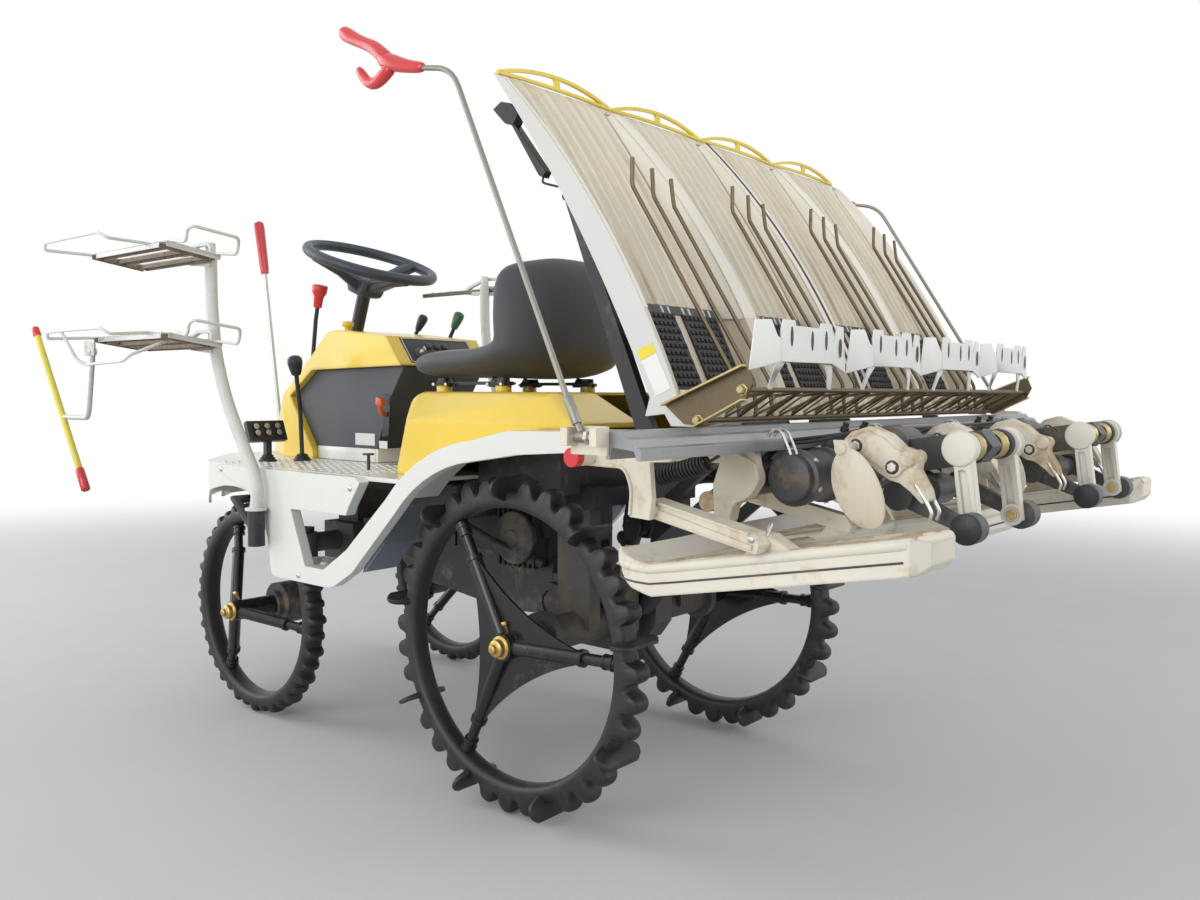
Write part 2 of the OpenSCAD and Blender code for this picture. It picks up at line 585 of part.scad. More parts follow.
// Levers and pedals: bent rods with plain feet, and the knobs pressed on them
lever_r = 6;
lever_seat_y = -bonnet_half_w - lever_r - fit;
red_lever = [[1090, 100, 874], [1062, 100, 1060], [1052, 100, 1100]];
left_lever = [[957, 220, floor_z + fit], [957, 225, 804], [936, 250, 905]];
right_lever = [[1062, lever_seat_y, 850], [1062, lever_seat_y, 880], [1058, -225, 970], [1024, -245, 1050]];
green_lever = [[900, lever_seat_y, 930], [900, lever_seat_y, 960], [884, -240, 1000], [864, -250, 1050]];
module control_levers() color("#1c1c1e") at_axle() {
    difference() {
        wire(red_lever, lever_r);
        slab(shifted(bonnet_side, [0, fit]), 80, 120);
    }
    for (p = [left_lever, right_lever, green_lever]) wire(p, lever_r);
    // pedal plate on its post
    block([998 - 8, 292, floor_z], [998 + 8, 308, 730]);
    slab([[988, 724], [1004, 718], [1022, 770], [1010, 776]], 244, 356);
    // small foot pin on the deck
    translate([560, 300, floor_z]) cylinder(h = 36, r = 4);
    translate([560, 300, floor_z + 36]) cylinder(h = 4, r = 14);
}
module knob(at, from, l, r) {
    d = unit(at - from);
    translate(at) rotate([0, acos(d[2]), atan2(d[1], d[0])]) {
        cylinder(h = l, r1 = 0.6 * r, r2 = r);
        translate([0, 0, l]) sphere(r = r);
    }
}
module lever_knobs() color("#202124") at_axle() {
    knob(red_lever[2], red_lever[1], 40, 15);
    knob(left_lever[2], left_lever[1], 30, 18);
    knob(right_lever[2], right_lever[1], 36, 13);
    knob(green_lever[2], green_lever[1], 36, 15);
}

// Racks: a bent post with two slatted shelves and wire rails on each side
post_pin_r = 12;
post_bend = [[post_x, sleeve_top + 5], [760, 640], [786, 665], [838, 736], [904, 834], [950, 950], [964, 1060], [966, 1100]];
module shelf(z, tilt) translate([1030, post_y + post_d / 2 + 14, z]) rotate([tilt, 0, 0]) {
    for (x = [-shelf_l / 2, -14, shelf_l / 2 - 28]) translate([x, 0, 0]) cube([28, shelf_w, 10]);
    for (y = [0, shelf_w - 22]) translate([-shelf_l / 2, y, 0]) cube([shelf_l, 22, 10]);
    translate([-shelf_l / 2 + 40, -28, -2]) cube([60, 50, 10]);
}
module rack() {
    wire([for (p = post_bend) [p[0], post_y, p[1]]], post_d / 2, 12);
    translate([966, post_y, 1090]) cylinder(h = upper_shelf_z + 16 - 1090, r = post_d / 2);
    translate([966, post_y, upper_shelf_z]) cylinder(h = 46, r = post_pin_r);
    translate([post_x, post_y, sleeve_top + fit]) cylinder(h = 6, r = post_d / 2 + 10);
    shelf(lower_shelf_z, 4);
    shelf(upper_shelf_z, 4);
    for (z = [lower_shelf_z, upper_shelf_z]) {
        wire([[1040, post_y + 60, z + 12], [1230, post_y + 60, z + 20], [1290, post_y + 80, z + 24], [1290, post_y + shelf_w - 20, z + 34],
            [1200, post_y + shelf_w, z + 34], [1040, post_y + shelf_w, z + 28]], wire_d / 2);
        wire([[900, post_y + 40, z + 10], [850, post_y + 40, z + 16], [850, post_y + 40, z + 50], [850, post_y + shelf_w - 20, z + 60],
            [900, post_y + shelf_w, z + 30], [1000, post_y + shelf_w, z + 26]], wire_d / 2);
    }
}
module racks() color("#e4e4e0") at_axle() both_sides() rack();
guide_y = 700;
guide_top = [1462, 1021];
guide_low = [1177, 606];
module guide_rods() color("#e3d23a") at_axle() both_sides() {
    rod([guide_top[0], guide_y, guide_top[1]], [guide_low[0], guide_y, guide_low[1]], 8);
    wire([[1030 + shelf_l / 2 + 6 + fit, guide_y - 10, lower_shelf_z + 20], [1200, guide_y - 10, 800], [1216, guide_y - 10, 748],
        [1270, guide_y - 10, 742]], 6);
}
pole_base = [1392, floor_z + 1];
module centre_pole() color("#b9bcbf") at_axle() {
    rod([pole_base[0], 0, pole_base[1]], [pole_tip_x - 30, 0, pole_tip_z - 150], 6);
    rod([pole_tip_x - 30, 0, pole_tip_z - 150], [pole_tip_x, 0, pole_tip_z], 8);
}

// Lift linkage: two lower links, one upper link and the cylinder between chassis and lower links
module link_plate(from, to, w, y0, y1) {
    v = to - from;
    translate([from[0], y1, from[1]]) rotate([90, 0, 0]) rotate([0, 0, atan2(v[1], v[0])]) linear_extrude(y1 - y0) {
        difference() {
            union() {
                circle(r = w / 2 + 6);
                translate([norm(v), 0]) circle(r = w / 2 + 6);
                translate([0, -w / 2]) square([norm(v), w]);
            }
            circle(r = pin_r + fit);
            translate([norm(v), 0]) circle(r = pin_r + fit);
        }
    }
}
module lower_links() color("#1a1a1c") at_axle() {
    both_sides() link_plate(chassis_pivot, hitch_pivot, 26, link_y - link_t, link_y);
    both_sides() cross_bar(eye_point, 12, 30, link_y - link_t / 2);
    cross_bar(eye_point, pin_r, -32, 32);
}
module upper_link() color("#1a1a1c") at_axle()
    link_plate(chassis_pivot + [0, link_rise], hitch_pivot + [0, link_rise], 24, -12, 12);
module lift_place() translate([barrel_pivot[0], 0, barrel_pivot[1]]) rotate([0, lift_angle + 180, 0]) children();
module lift_barrel() color("#1a1a1c") at_axle() lift_place() difference() {
    union() {
        rotate([0, 90, 0]) cylinder(h = barrel_l, r = barrel_r);
        translate([0, 20, 0]) rotate([90, 0, 0]) cylinder(h = 40, r = 20);
    }
    translate([0, barrel_r + 1, 0]) rotate([90, 0, 0]) cylinder(h = 2 * barrel_r + 2, r = pin_r + fit);
    translate([60, 0, 0]) rotate([0, 90, 0]) cylinder(h = barrel_l, r = rod_r + fit);
}
// The rod's eye is open round the links' pin, because the pin's path isn't quite the cylinder's
module lift_rod() color("#c9ccce") at_axle() lift_place() difference() {
    union() {
        translate([120, 0, 0]) rotate([0, 90, 0]) cylinder(h = lift_len - 120, r = rod_r);
        translate([lift_len, 14, 0]) rotate([90, 0, 0]) cylinder(h = 28, r = pin_r + eye_play + 7);
    }
    translate([lift_len, 20, 0]) rotate([90, 0, 0]) cylinder(h = 40, r = pin_r + eye_play);
}

// Hitch frame: plates between the links and the cross tube, and struts under the tray
strut_y = 560;
slide_r = 9;
slide_z = 1180;
slide_at = under_c + (under_r - slide_r - tray_run) * unit([arc_x(under_c, under_r, slide_z), slide_z] - under_c);
module hitch_frame() color("#1d1d20") at_axle() {
    difference() {
        both_sides() slab([hitch_pivot + [20, -24], hitch_pivot + [20, link_rise + 24], hitch_pivot + [-16, link_rise + 24],
            [beam_at[0] - 34, 800], [beam_at[0] - 34, beam_at[1] - 24]], link_y + 2, link_y + 14);
        both_sides() cross_bar(beam_at, beam_d / 2, link_y, link_y + 20);
    }
    for (p = [hitch_pivot, hitch_pivot + [0, link_rise]]) cross_bar(p, pin_r, -link_y - 6, link_y + 6);
}
// Struts from the rail up to the cross rail on which the tray leans
module tray_struts() color("#1d1d20") at_axle() {
    both_sides() slab([[rail_x + fit, 772], [-490, 772], [-466, 800], slide_at + [12, -8], slide_at + [-4, 4],
        [-494, 812], [-500, 800], [rail_x + fit, 800]], strut_y - 8, strut_y + 8);
    cross_bar(slide_at, slide_r, -strut_y - 20, strut_y + 20);
}

// Planting unit's frame: the cross tube and the brackets that hold the rail and the float arms
module unit_frame() color("#d9d3c2") at_axle() {
    cross_bar(beam_at, beam_d / 2, -beam_half, beam_half);
    both_sides() {
        slab([[-440, 748], [-440, 770], [-600, rail_low], [-612, rail_low], [-600, 760], [-565, 758], [-570, 706], [-565, 675],
            [-529, 677], [-534, 716], [-520, 746]], 652, 662);
        slab([[-440, 748], [-440, 770], [-600, rail_low], [-644, rail_low], [-654, case_at[1]], [-636, 700], [-608, 690],
            [-605, 662], [-574, 664], [-571, 716], [-583, 750]], case_half, case_half + 16);
        // hinge bracket of a line marker, with its pin
        block([hinge_at[0] - 34, rail_half + fit, hinge_at[1] - 24], [hinge_at[0] + 28, rail_half + 5, hinge_at[1] + 14]);
        for (x = [hinge_at[0] - 34, hinge_at[0] + 16])
            block([x, rail_half + 2, hinge_at[1] - 12], [x + 12, marker_y + 12, hinge_at[1] + 12]);
        translate([hinge_at[0] - 30, marker_y, hinge_at[1]]) rotate([0, 90, 0]) cylinder(h = 54, r = hinge_pin_r);
        slab([[-438, 762], [-462, 692], [-482, 692], [-468, 762]], 62, 74);
    }
}
module beam_caps() color("#c8282c") at_axle() both_sides() cross_bar(beam_at, beam_d / 2 + 1, beam_half + fit, beam_half + 14);
module guide_rail() color("#a9acae") at_axle()
    slab([[rail_x, rail_top], [rail_x - 24, rail_top], [rail_x - 30, rail_top - 8], [rail_x - 44, rail_top - 10],
        [rail_x - 50, rail_top - 20], [rail_x - rail_depth, rail_top - 22], [rail_x - rail_depth, rail_low],
        [rail_x - rail_depth + 6, rail_low], [rail_x - 46, rail_low + 12], [rail_x - 10, rail_low + 16],
        [rail_x - 6, rail_low], [rail_x, rail_low]], -rail_half, rail_half);

// Drive case: a cross tube with one case running back to each pair of planting arms
module drive_case() color("#3f4145") at_axle() {
    cross_bar(case_at, case_r, -case_half + fit, case_half - fit);
    both_sides() {
        slab([case_at + [10, 30], shaft_at + [-6, 24], shaft_at + [-24, 0], shaft_at + [-6, -24], case_at + [10, -30]],
            unit_y - 22, unit_y + 22);
        cross_bar(shaft_at, cross_r, unit_y - rocker_offset + rocker_t / 2, unit_y + rocker_offset - rocker_t / 2);
        cross_bar(crank_at, cross_r + 4, unit_y - 22, unit_y + 22);
        cross_bar(crank_at, 11, unit_y - row_pitch / 2 + arm_t / 2, unit_y + row_pitch / 2 - arm_t / 2);
    }
}
// Planting arms, one for each row, each with a leaf-shaped guard on its outer side
arm_side = [[-773, 788], [-781, 801], [-806, 809], [-832, 796], [-851, 777], [-865, 778], [-876, 764], [-874, 752],
    [-891, 721], [-889, 712], [-875, 716], [-856, 727], disc_at + [-12, -18], disc_at + [14, -18], disc_at + [24, 24], [-782, 774]];
guard_side = [[-770, 792], [-792, 792], [-806, 742], [-832, 720], [-849, 695], [-854, 674],
    [-842, 668], [-806, 668], [-788, 702]];
guard_out = 34;
module planting_arms() color("#dfd4b4") at_axle() for (y = rows) {
    out = (y > 0 ? 1 : -1) * (abs(y) > unit_y ? 1 : -1);
    slab(arm_side, y - arm_t / 2, y + arm_t / 2);
    slab(guard_side, min(y + out * (arm_t / 2 + guard_out), y + out * (arm_t / 2 + guard_out + 3)),
        max(y + out * (arm_t / 2 + guard_out), y + out * (arm_t / 2 + guard_out + 3)));
    cross_bar(crank_at, 9, min(y, y + out * (arm_t / 2 + guard_out + 6)), max(y, y + out * (arm_t / 2 + guard_out + 6)));
}
// White rockers: a round head on the cross shaft and a web with raised edges down to the crank's cap
rocker_side = [[-893, 782], [-903, 762], [-915, 664], [-942, 664], [-928, 768], [-932, 786]];
rocker_pocket = [[-910, 750], [-920, 684], [-932, 684], [-921, 750]];
module rocker_links() color("#e8e6df") at_axle() for (y = rows) {
    s = y > 0 ? 1 : -1;
    away = abs(y) > unit_y ? s : -s;
    ry = s * unit_y + away * rocker_offset;
    difference() {
        union() {
            slab(rocker_side, ry - rocker_t / 2, ry + rocker_t / 2);
            cross_bar(shaft_at + [-5, 0], 23, ry - rocker_t / 2, ry + rocker_t / 2);
        }
        slab(rocker_pocket, ry - rocker_t / 2 - 1, ry - rocker_t / 2 + 6);
        slab(rocker_pocket, ry + rocker_t / 2 - 6, ry + rocker_t / 2 + 1);
    }
}
module crank_bars() color("#2c2e31") at_axle() for (y = rows) {
    s = y > 0 ? 1 : -1;
    inward = abs(y) > unit_y ? -s : s;
    by = y + inward * (row_pitch / 2 - rocker_offset - rocker_t / 2 - 14);
    slab([disc_at + [0, 16], cap_at + [0, 10], cap_at + [0, -10], disc_at + [0, -16]], by - 7, by + 7);
    cross_bar(cap_at, cap_r, by - 14, by + 14);
    face = y + inward * arm_t / 2;
    cross_bar(disc_at, cap_r, min(face, by - inward * 14, by + inward * 14), max(face, by - inward * 14, by + inward * 14));
}

// Floats: one at each side and a longer one in the middle, pitched nose down
float_slope = 0.1945;
function float_low(x) = 553 + (-534 - x) * float_slope;
function float_side(nose, tail) = [[nose, float_low(nose - 100) + 52], [nose - 14, float_low(nose - 100) + 34],
    [nose - 58, float_low(nose - 100) + 10], [nose - 104, float_low(nose - 104)], [tail + 14, float_low(tail + 14)],
    [tail, float_low(tail) + 10], [tail, float_low(tail) + float_t - 6], [tail + 14, float_low(tail + 14) + float_t],
    [nose - 104, float_low(nose - 104) + float_t], [nose - 20, float_low(nose - 100) + 62]];
float_cut = 90;
side_float_y = 330;
side_tail_y = 500;
centre_tail_half = 108;
float_neck_x = -650;
module float_body(nose, tail, plan) intersection() {
    slab(float_side(nose, tail), -700, 700);
    translate([0, 0, 400]) linear_extrude(400) polygon(plan);
}
// Plan of a float: round corners at the nose, and a tail that leaves room for the planting arms
function nose_arc(nose, y, s) = [for (a = [0 : 15 : 90]) [nose - float_cut + float_cut * cos(a), y + s * float_cut * (sin(a) - 1)]];
function side_plan(nose, tail, y0, y1, tail_y) = concat(nose_arc(nose, y0, -1), [[float_neck_x, y0],
    [float_neck_x - 40, tail_y], [tail + 20, tail_y], [tail, tail_y + 20], [tail, y1 - 20], [tail + 20, y1]],
    reversed(nose_arc(nose, y1, 1)));
function centre_plan(nose, tail, w, t) = concat(nose_arc(nose, -w, -1), [[float_neck_x, -w], [float_neck_x - 40, -t],
    [tail + 20, -t], [tail, 20 - t], [tail, t - 20], [tail + 20, t], [float_neck_x - 40, t], [float_neck_x, w]],
    reversed(nose_arc(nose, w, 1)));
module floats() color("#e6dfcb") at_axle() {
    both_sides() float_body(-431, -954, side_plan(-431, -954, side_float_y, side_float_y + side_float_w, side_tail_y));
    float_body(-300, -842, centre_plan(-300, -842, centre_float_w / 2, centre_tail_half));
}
module float_arms() color("#e3dccb") at_axle() both_sides() {
    cross_bar([-560, 689], 7, 630, 652);
    slab([[-548, 702], [-548, 676], [-728, 640], [-734, 652], [-722, 668]], 346, 366);
    slab([[-664, float_low(-664) + float_t + fit], [-727, float_low(-727) + float_t + fit], [-712, 652], [-690, 656]], 334, 347);
    cross_bar([-560, 689], 7, 360, case_half);
    slab([[-462, 716], [-456, 698], [-600, 640], [-650, 634], [-658, 646], [-640, 662]], 74 + fit, 86);
    slab([[-606, float_low(-606) + float_t + fit], [-672, float_low(-672) + float_t + fit], [-650, 664], [-628, 664]], 62, 75);
    slab([[-548, 702], [-548, 676], [-728, 640], [-734, 652], [-722, 668]], 604, 640);
    slab([[-690, float_low(-690) + float_t + fit], [-766, float_low(-766) + float_t + fit], [-730, 664], [-716, 664]], 580, 610);
}

// Seedling tray: a curved floor with a wall beside each row, and belt windows at its foot
floor_line = arc_line(under_c, under_r, tray_low_z, tray_top_z);
wall_rear = arc_line(edge_c, edge_r, tray_low_z, tray_top_z - 14);
wall_ys = [for (i = [-rows_each_side : rows_each_side]) i * row_pitch];
foot_z = rail_top + tray_run;
tray_foot = [[-601, foot_z], [-560, foot_z], [-548, 826], [-512, 822]];
module seedling_tray() color("#efe9d8") at_axle() difference() {
    union() {
        slab(concat(floor_line, reversed(shifted(floor_line, [-tray_floor_t, 0]))), -tray_half, tray_half);
        for (y = wall_ys) let (side = abs(y) > row_pitch, w = side ? row_wall_t : ridge_w)
            slab(concat(floor_line, reversed(wall_rear), side ? tray_foot : [[-576, 830], [-530, 830]]),
                max(y - w / 2, -tray_half), min(y + w / 2, tray_half));
        slab([[-582, foot_z + 4], [-604, foot_z + 4], [-580, 862], [-568, 862]], -tray_half + row_wall_t, tray_half - row_wall_t);
    }
    for (y = rows) for (s = [-1, 1]) block([-600, y + s * (belt_w / 2 + 12) - belt_w / 2 - 0.5, window_low_z],
        [-420, y + s * (belt_w / 2 + 12) + belt_w / 2 + 0.5, window_top_z]);
}
module feed_belts() color("#26272b") at_axle() {
    line = arc_line(under_c, under_r, window_low_z + 0.5, window_top_z - 0.5, 5);
    for (y = rows) for (s = [-1, 1]) slab(concat(shifted(line, [10, 0]), reversed(shifted(line, [-8, 0]))),
        y + s * (belt_w / 2 + 12) - belt_w / 2, y + s * (belt_w / 2 + 12) + belt_w / 2);
}
guard_rise = 24;
guard_step = 16;
guard_strip = 6;
module tray_guards() color("#f2d024") at_axle() for (y = rows) {
    half = row_pitch / 2 - gap;
    r = (half * half + guard_rise * guard_rise) / (2 * guard_rise);
    translate([arc_x(under_c, under_r, tray_top_z) - 6, y, tray_top_z + guard_strip + 1]) rotate([90, 0, 90]) linear_extrude(7) {
        intersection() {
            for (up = [0, guard_step]) translate([0, up + guard_rise - r]) difference() {
                circle(r = r, $fn = 120);
                circle(r = r - guard_strip, $fn = 120);
            }
            translate([-half, -guard_strip - 1 + fit]) square([2 * half, 2 * guard_rise + guard_step]);
        }
        for (k = [-1, -0.5, 0, 0.5, 1]) let (py = k * (half - 5), top = guard_rise - r + sqrt(r * r - py * py))
            translate([py - 5, top - 3]) square([10, guard_step]);
        for (s = [-1, 1]) translate([s * (half - 5) - 5, -guard_strip - 1 + fit]) square([10, 14]);
    }
}
press_low = [-612, 818];
press_high = [-685, 862];
press_bar_r = 4;
module press_rods() color("#8a7f5c") at_axle() {
    for (y = rows) for (k = [-1, 0, 1]) wire([[-392, y + k * press_pitch, 1236], [-401, y + k * press_pitch, 1195],
        [-603, y + k * press_pitch, 880], [press_low[0], y + k * press_pitch, press_low[1]]], press_d / 2, 6);
    for (p = [press_low, press_high]) cross_bar(p, press_bar_r, -tray_half - 1, tray_half + 1);
    both_sides() slab([[-553, 838], [-690, 894], [-700, 870], [-690, 850], [-612, 812], [-586, 812]],
        tray_half + fit, tray_half + 4);
}
cover_x = -700;
cover_low = 876;
cover_high = 964;
cover_fold = 92;
cover_t = 3;
module row_covers() color("#f0efe9") at_axle() for (y = rows) translate([cover_x, y, 0]) {
    difference() {
        translate([0, 0, cover_low]) linear_extrude(cover_high - cover_low) polygon([[22, -cover_w / 2], [0, -cover_fold],
            [0, cover_fold], [22, cover_w / 2], [22 + cover_t, cover_w / 2 - 2], [cover_t, cover_fold - 2],
            [cover_t, 2 - cover_fold], [22 + cover_t, 2 - cover_w / 2]]);
        for (s = [-62, -20, 20, 62]) block([-1, s - 4, cover_high - 46], [cover_t + 1, s + 4, cover_high - 14]);
    }
    for (s = [-1, 1]) slab([[cover_t - 1, cover_low + 40], [cover_t + 4, cover_low + 40], [28, press_high[1] + press_bar_r + 0.2],
        [6, press_high[1] + press_bar_r + 0.2], [cover_t - 1, cover_low + 4]], s * 70 - 3, s * 70 + 3);
}

// Line markers: a long bent rod with a three-pronged fork, hinged at the end of the rail
marker_in = marker_y - 70;
marker_bend = [-248, marker_in, 1351];
marker_neck = [-163, marker_in, 1368];
marker_tip = [26, marker_in, marker_tip_z];
module marker() {
    difference() {
        union() {
            translate([hinge_at[0] - 10, marker_y, hinge_at[1]]) rotate([0, 90, 0]) cylinder(h = 20, r = hinge_pin_r + 3);
            wire([[hinge_at[0], marker_y, hinge_at[1]], [hinge_at[0] + 15, marker_y, hinge_at[1] + 26], marker_bend, marker_neck],
                marker_d / 2);
        }
        translate([hinge_at[0] - 20, marker_y, hinge_at[1]]) rotate([0, 90, 0]) cylinder(h = 40, r = hinge_pin_r + fit);
    }
    fork = [-100, marker_in, 1388];
    wire([marker_neck + [-12, 0, -2], fork, fork + [40, 0, -26], fork + [78, 0, 4]], 12);
    wire([fork + [-20, 0, 0], fork + [36, 0, 34], marker_tip], 11);
}
module marker_left() color("#c8c6bd") at_axle() marker();
module marker_right() color("#c8c6bd") at_axle() mirror([0, 1, 0]) marker();

chassis_frame();
engine();
gearbox();
rear_axle();
front_axle();
deck();
side_panels();
rear_hood();
bonnet();
console();
steering_column();
seat();
seat_mount();
control_levers();
lever_knobs();
racks();
guide_rods();
centre_pole();
knuckle_left();
knuckle_right();
front_tyre_left();
front_wheel_left();
front_tyre_right();
front_wheel_right();
steering_wheel();
rear_tyre_left();
rear_wheel_left();
rear_tyre_right();
rear_wheel_right();
lower_links();
upper_link();
lift_barrel();
lift_rod();
hitch_frame();
unit_frame();
beam_caps();
tray_struts();
guide_rail();
drive_case();
planting_arms();
rocker_links();
crank_bars();
floats();
float_arms();
seedling_tray();
feed_belts();
tray_guards();
press_rods();
row_covers();
marker_left();
marker_right();
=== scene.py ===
"""Four-row riding rice transplanter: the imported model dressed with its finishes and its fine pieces.

Places are given in millimetres from a point on the ground under the rear axle, and place() turns them
into metres in the part's frame.
"""

import json
import math

import bmesh
import bpy
from bpy.props import FloatProperty, FloatVectorProperty, IntProperty, PointerProperty
from mathutils import Matrix, Vector

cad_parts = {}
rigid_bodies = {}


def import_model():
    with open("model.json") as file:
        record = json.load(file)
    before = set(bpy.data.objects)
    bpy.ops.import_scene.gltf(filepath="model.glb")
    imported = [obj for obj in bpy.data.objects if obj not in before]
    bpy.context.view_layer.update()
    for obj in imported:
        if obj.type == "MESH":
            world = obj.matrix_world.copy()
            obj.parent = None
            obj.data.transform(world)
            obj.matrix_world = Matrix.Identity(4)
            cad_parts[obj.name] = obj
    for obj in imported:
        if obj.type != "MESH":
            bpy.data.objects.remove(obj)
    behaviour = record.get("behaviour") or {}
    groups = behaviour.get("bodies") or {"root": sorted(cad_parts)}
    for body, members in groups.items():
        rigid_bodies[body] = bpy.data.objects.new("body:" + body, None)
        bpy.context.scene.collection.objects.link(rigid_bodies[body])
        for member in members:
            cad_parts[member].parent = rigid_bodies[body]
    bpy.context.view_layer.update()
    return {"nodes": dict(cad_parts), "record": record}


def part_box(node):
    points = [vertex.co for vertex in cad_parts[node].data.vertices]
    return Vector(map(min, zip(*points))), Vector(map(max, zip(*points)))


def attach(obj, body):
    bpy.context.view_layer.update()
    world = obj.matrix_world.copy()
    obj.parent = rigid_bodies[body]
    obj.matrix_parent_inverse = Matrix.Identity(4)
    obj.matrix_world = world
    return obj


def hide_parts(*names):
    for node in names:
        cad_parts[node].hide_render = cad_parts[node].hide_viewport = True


bl_info = {
    "name": "Rice transplanter",
    "version": (1, 0, 0),
    "blender": (4, 5, 0),
    "location": "View3D > Sidebar > Transplanter",
    "description": "Finishes and fine pieces of a four-row riding rice transplanter",
    "category": "Object",
}

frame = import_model()
NODES = frame["nodes"]
TYRE_LOW, TYRE_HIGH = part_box("rear_tyre_left")
AXLE_X = (TYRE_LOW.x + TYRE_HIGH.x) / 2
AHEAD, LEFT, UP = Vector((1, 0, 0)), Vector((0, 1, 0)), Vector((0, 0, 1))
# places that several pieces share, in millimetres: the planting rows, the undersides of the shelves, the
# posts of the racks, the guide rods, the tops of the deck and the steps, and the shaft and the pins of the
# planting unit
ROWS = (-450, -150, 150, 450)
SHELVES = (965, 1180)
POST_Y, SHELF_Y, GUIDE_Y = 472, 487, 700
DECK_TOP, STEP_TOP = 666.6, 444.6
SHAFT_X, SHAFT_Z = -907, 781
ARM_PINS = ((-789, 783), (-844, 755))
HOUSING_X, HOUSING_Z = -690, 731
FOOT_BARS = ((-612, 818), (-685, 862))
# arcs that the seedling tray's floor and the rear edges of its walls follow: radius, x and z of the middle
FLOOR_ARC, FLOOR_X, FLOOR_Z = 2749, 1966, -314
WALL_ARC, WALL_X, WALL_Z = 1609, 910.4, 226


def place(x, y, z):
    """A point in millimetres from under the rear axle, as metres in the part's frame"""
    return Vector((AXLE_X + x / 1000, y / 1000, z / 1000))


class Value:
    """A socket in a finish's node tree that can be used in sums"""

    def __init__(self, finish, socket):
        self.finish, self.socket = finish, socket

    def _sum(self, operation, a, b):
        return self.finish.math(operation, a, b)

    def __add__(self, other):
        return self._sum("ADD", self, other)

    def __sub__(self, other):
        return self._sum("SUBTRACT", self, other)

    def __mul__(self, other):
        return self._sum("MULTIPLY", self, other)

    def __rsub__(self, other):
        return self._sum("SUBTRACT", other, self)

    __radd__ = __add__
    __rmul__ = __mul__


class Finish:
    """A material and the nodes that make its pattern"""

    def __init__(self, name):
        self.material = bpy.data.materials.new(name)
        self.material.use_nodes = True
        self.tree = self.material.node_tree
        self.tree.nodes.clear()
        self.objects = self.add("ShaderNodeTexCoord", {}, {}, "Object")

    def add(self, kind, settings, values, output=0):
        node = self.tree.nodes.new(kind)
        for name, setting in settings.items():
            setattr(node, name, setting)
        for name, value in values.items():
            if isinstance(value, Value):
                self.tree.links.new(value.socket, node.inputs[name])
            else:
                node.inputs[name].default_value = value
        return Value(self, node.outputs[output])

    def math(self, operation, *values):
        return self.add("ShaderNodeMath", {"operation": operation}, dict(enumerate(values)))

    def noise(self, scale, detail=3.0, rough=0.55, stretch=(1, 1, 1), warp=0.0):
        where = self.objects
        if stretch != (1, 1, 1):
            where = self.add("ShaderNodeMapping", {}, {"Vector": where, "Scale": stretch})
        values = {"Vector": where, "Scale": scale, "Detail": detail, "Roughness": rough, "Distortion": warp}
        return self.add("ShaderNodeTexNoise", {}, values)

    def speckle(self, scale):
        return self.add("ShaderNodeTexVoronoi", {}, {"Vector": self.objects, "Scale": scale})

    def span(self, value, low, high):
        """0 below low, 1 above high, and smooth between them"""
        settings = {"interpolation_type": "SMOOTHSTEP", "clamp": True}
        return self.add("ShaderNodeMapRange", settings, {"Value": value, "From Min": low, "From Max": high})

    def mix(self, a, b, share):
        colours = {6: a if isinstance(a, Value) else (*a, 1), 7: b if isinstance(b, Value) else (*b, 1)}
        return self.add("ShaderNodeMix", {"data_type": "RGBA"}, {0: share, **colours}, 2)

    def part(self, vector, axis):
        return self.add("ShaderNodeSeparateXYZ", {}, {0: vector}, axis)

    def height(self):
        return self.part(self.objects, 2)

    def surface(self, colour, rough, metal=0.0, bump=None, depth=0.0005, edge=0.0, coat=0.0, sheen=0.0):
        values = {"Base Color": colour if isinstance(colour, Value) else (*colour, 1), "Roughness": rough,
                  "Metallic": metal, "Coat Weight": coat, "Coat Roughness": 0.12, "Sheen Weight": sheen}
        normal = self.add("ShaderNodeBevel", {"samples": 4}, {"Radius": edge}) if edge else None
        if bump is not None:
            links = {"Height": bump, "Distance": depth, "Strength": 1.0}
            if normal:
                links["Normal"] = normal
            normal = self.add("ShaderNodeBump", {}, links)
        if normal:
            values["Normal"] = normal
        self.add_output(self.add("ShaderNodeBsdfPrincipled", {}, values))
        return self.material

    def add_output(self, shader):
        out = self.tree.nodes.new("ShaderNodeOutputMaterial")
        self.tree.links.new(shader.socket, out.inputs["Surface"])


def scaled(colour, share):
    return tuple(min(1.0, c * share) for c in colour)


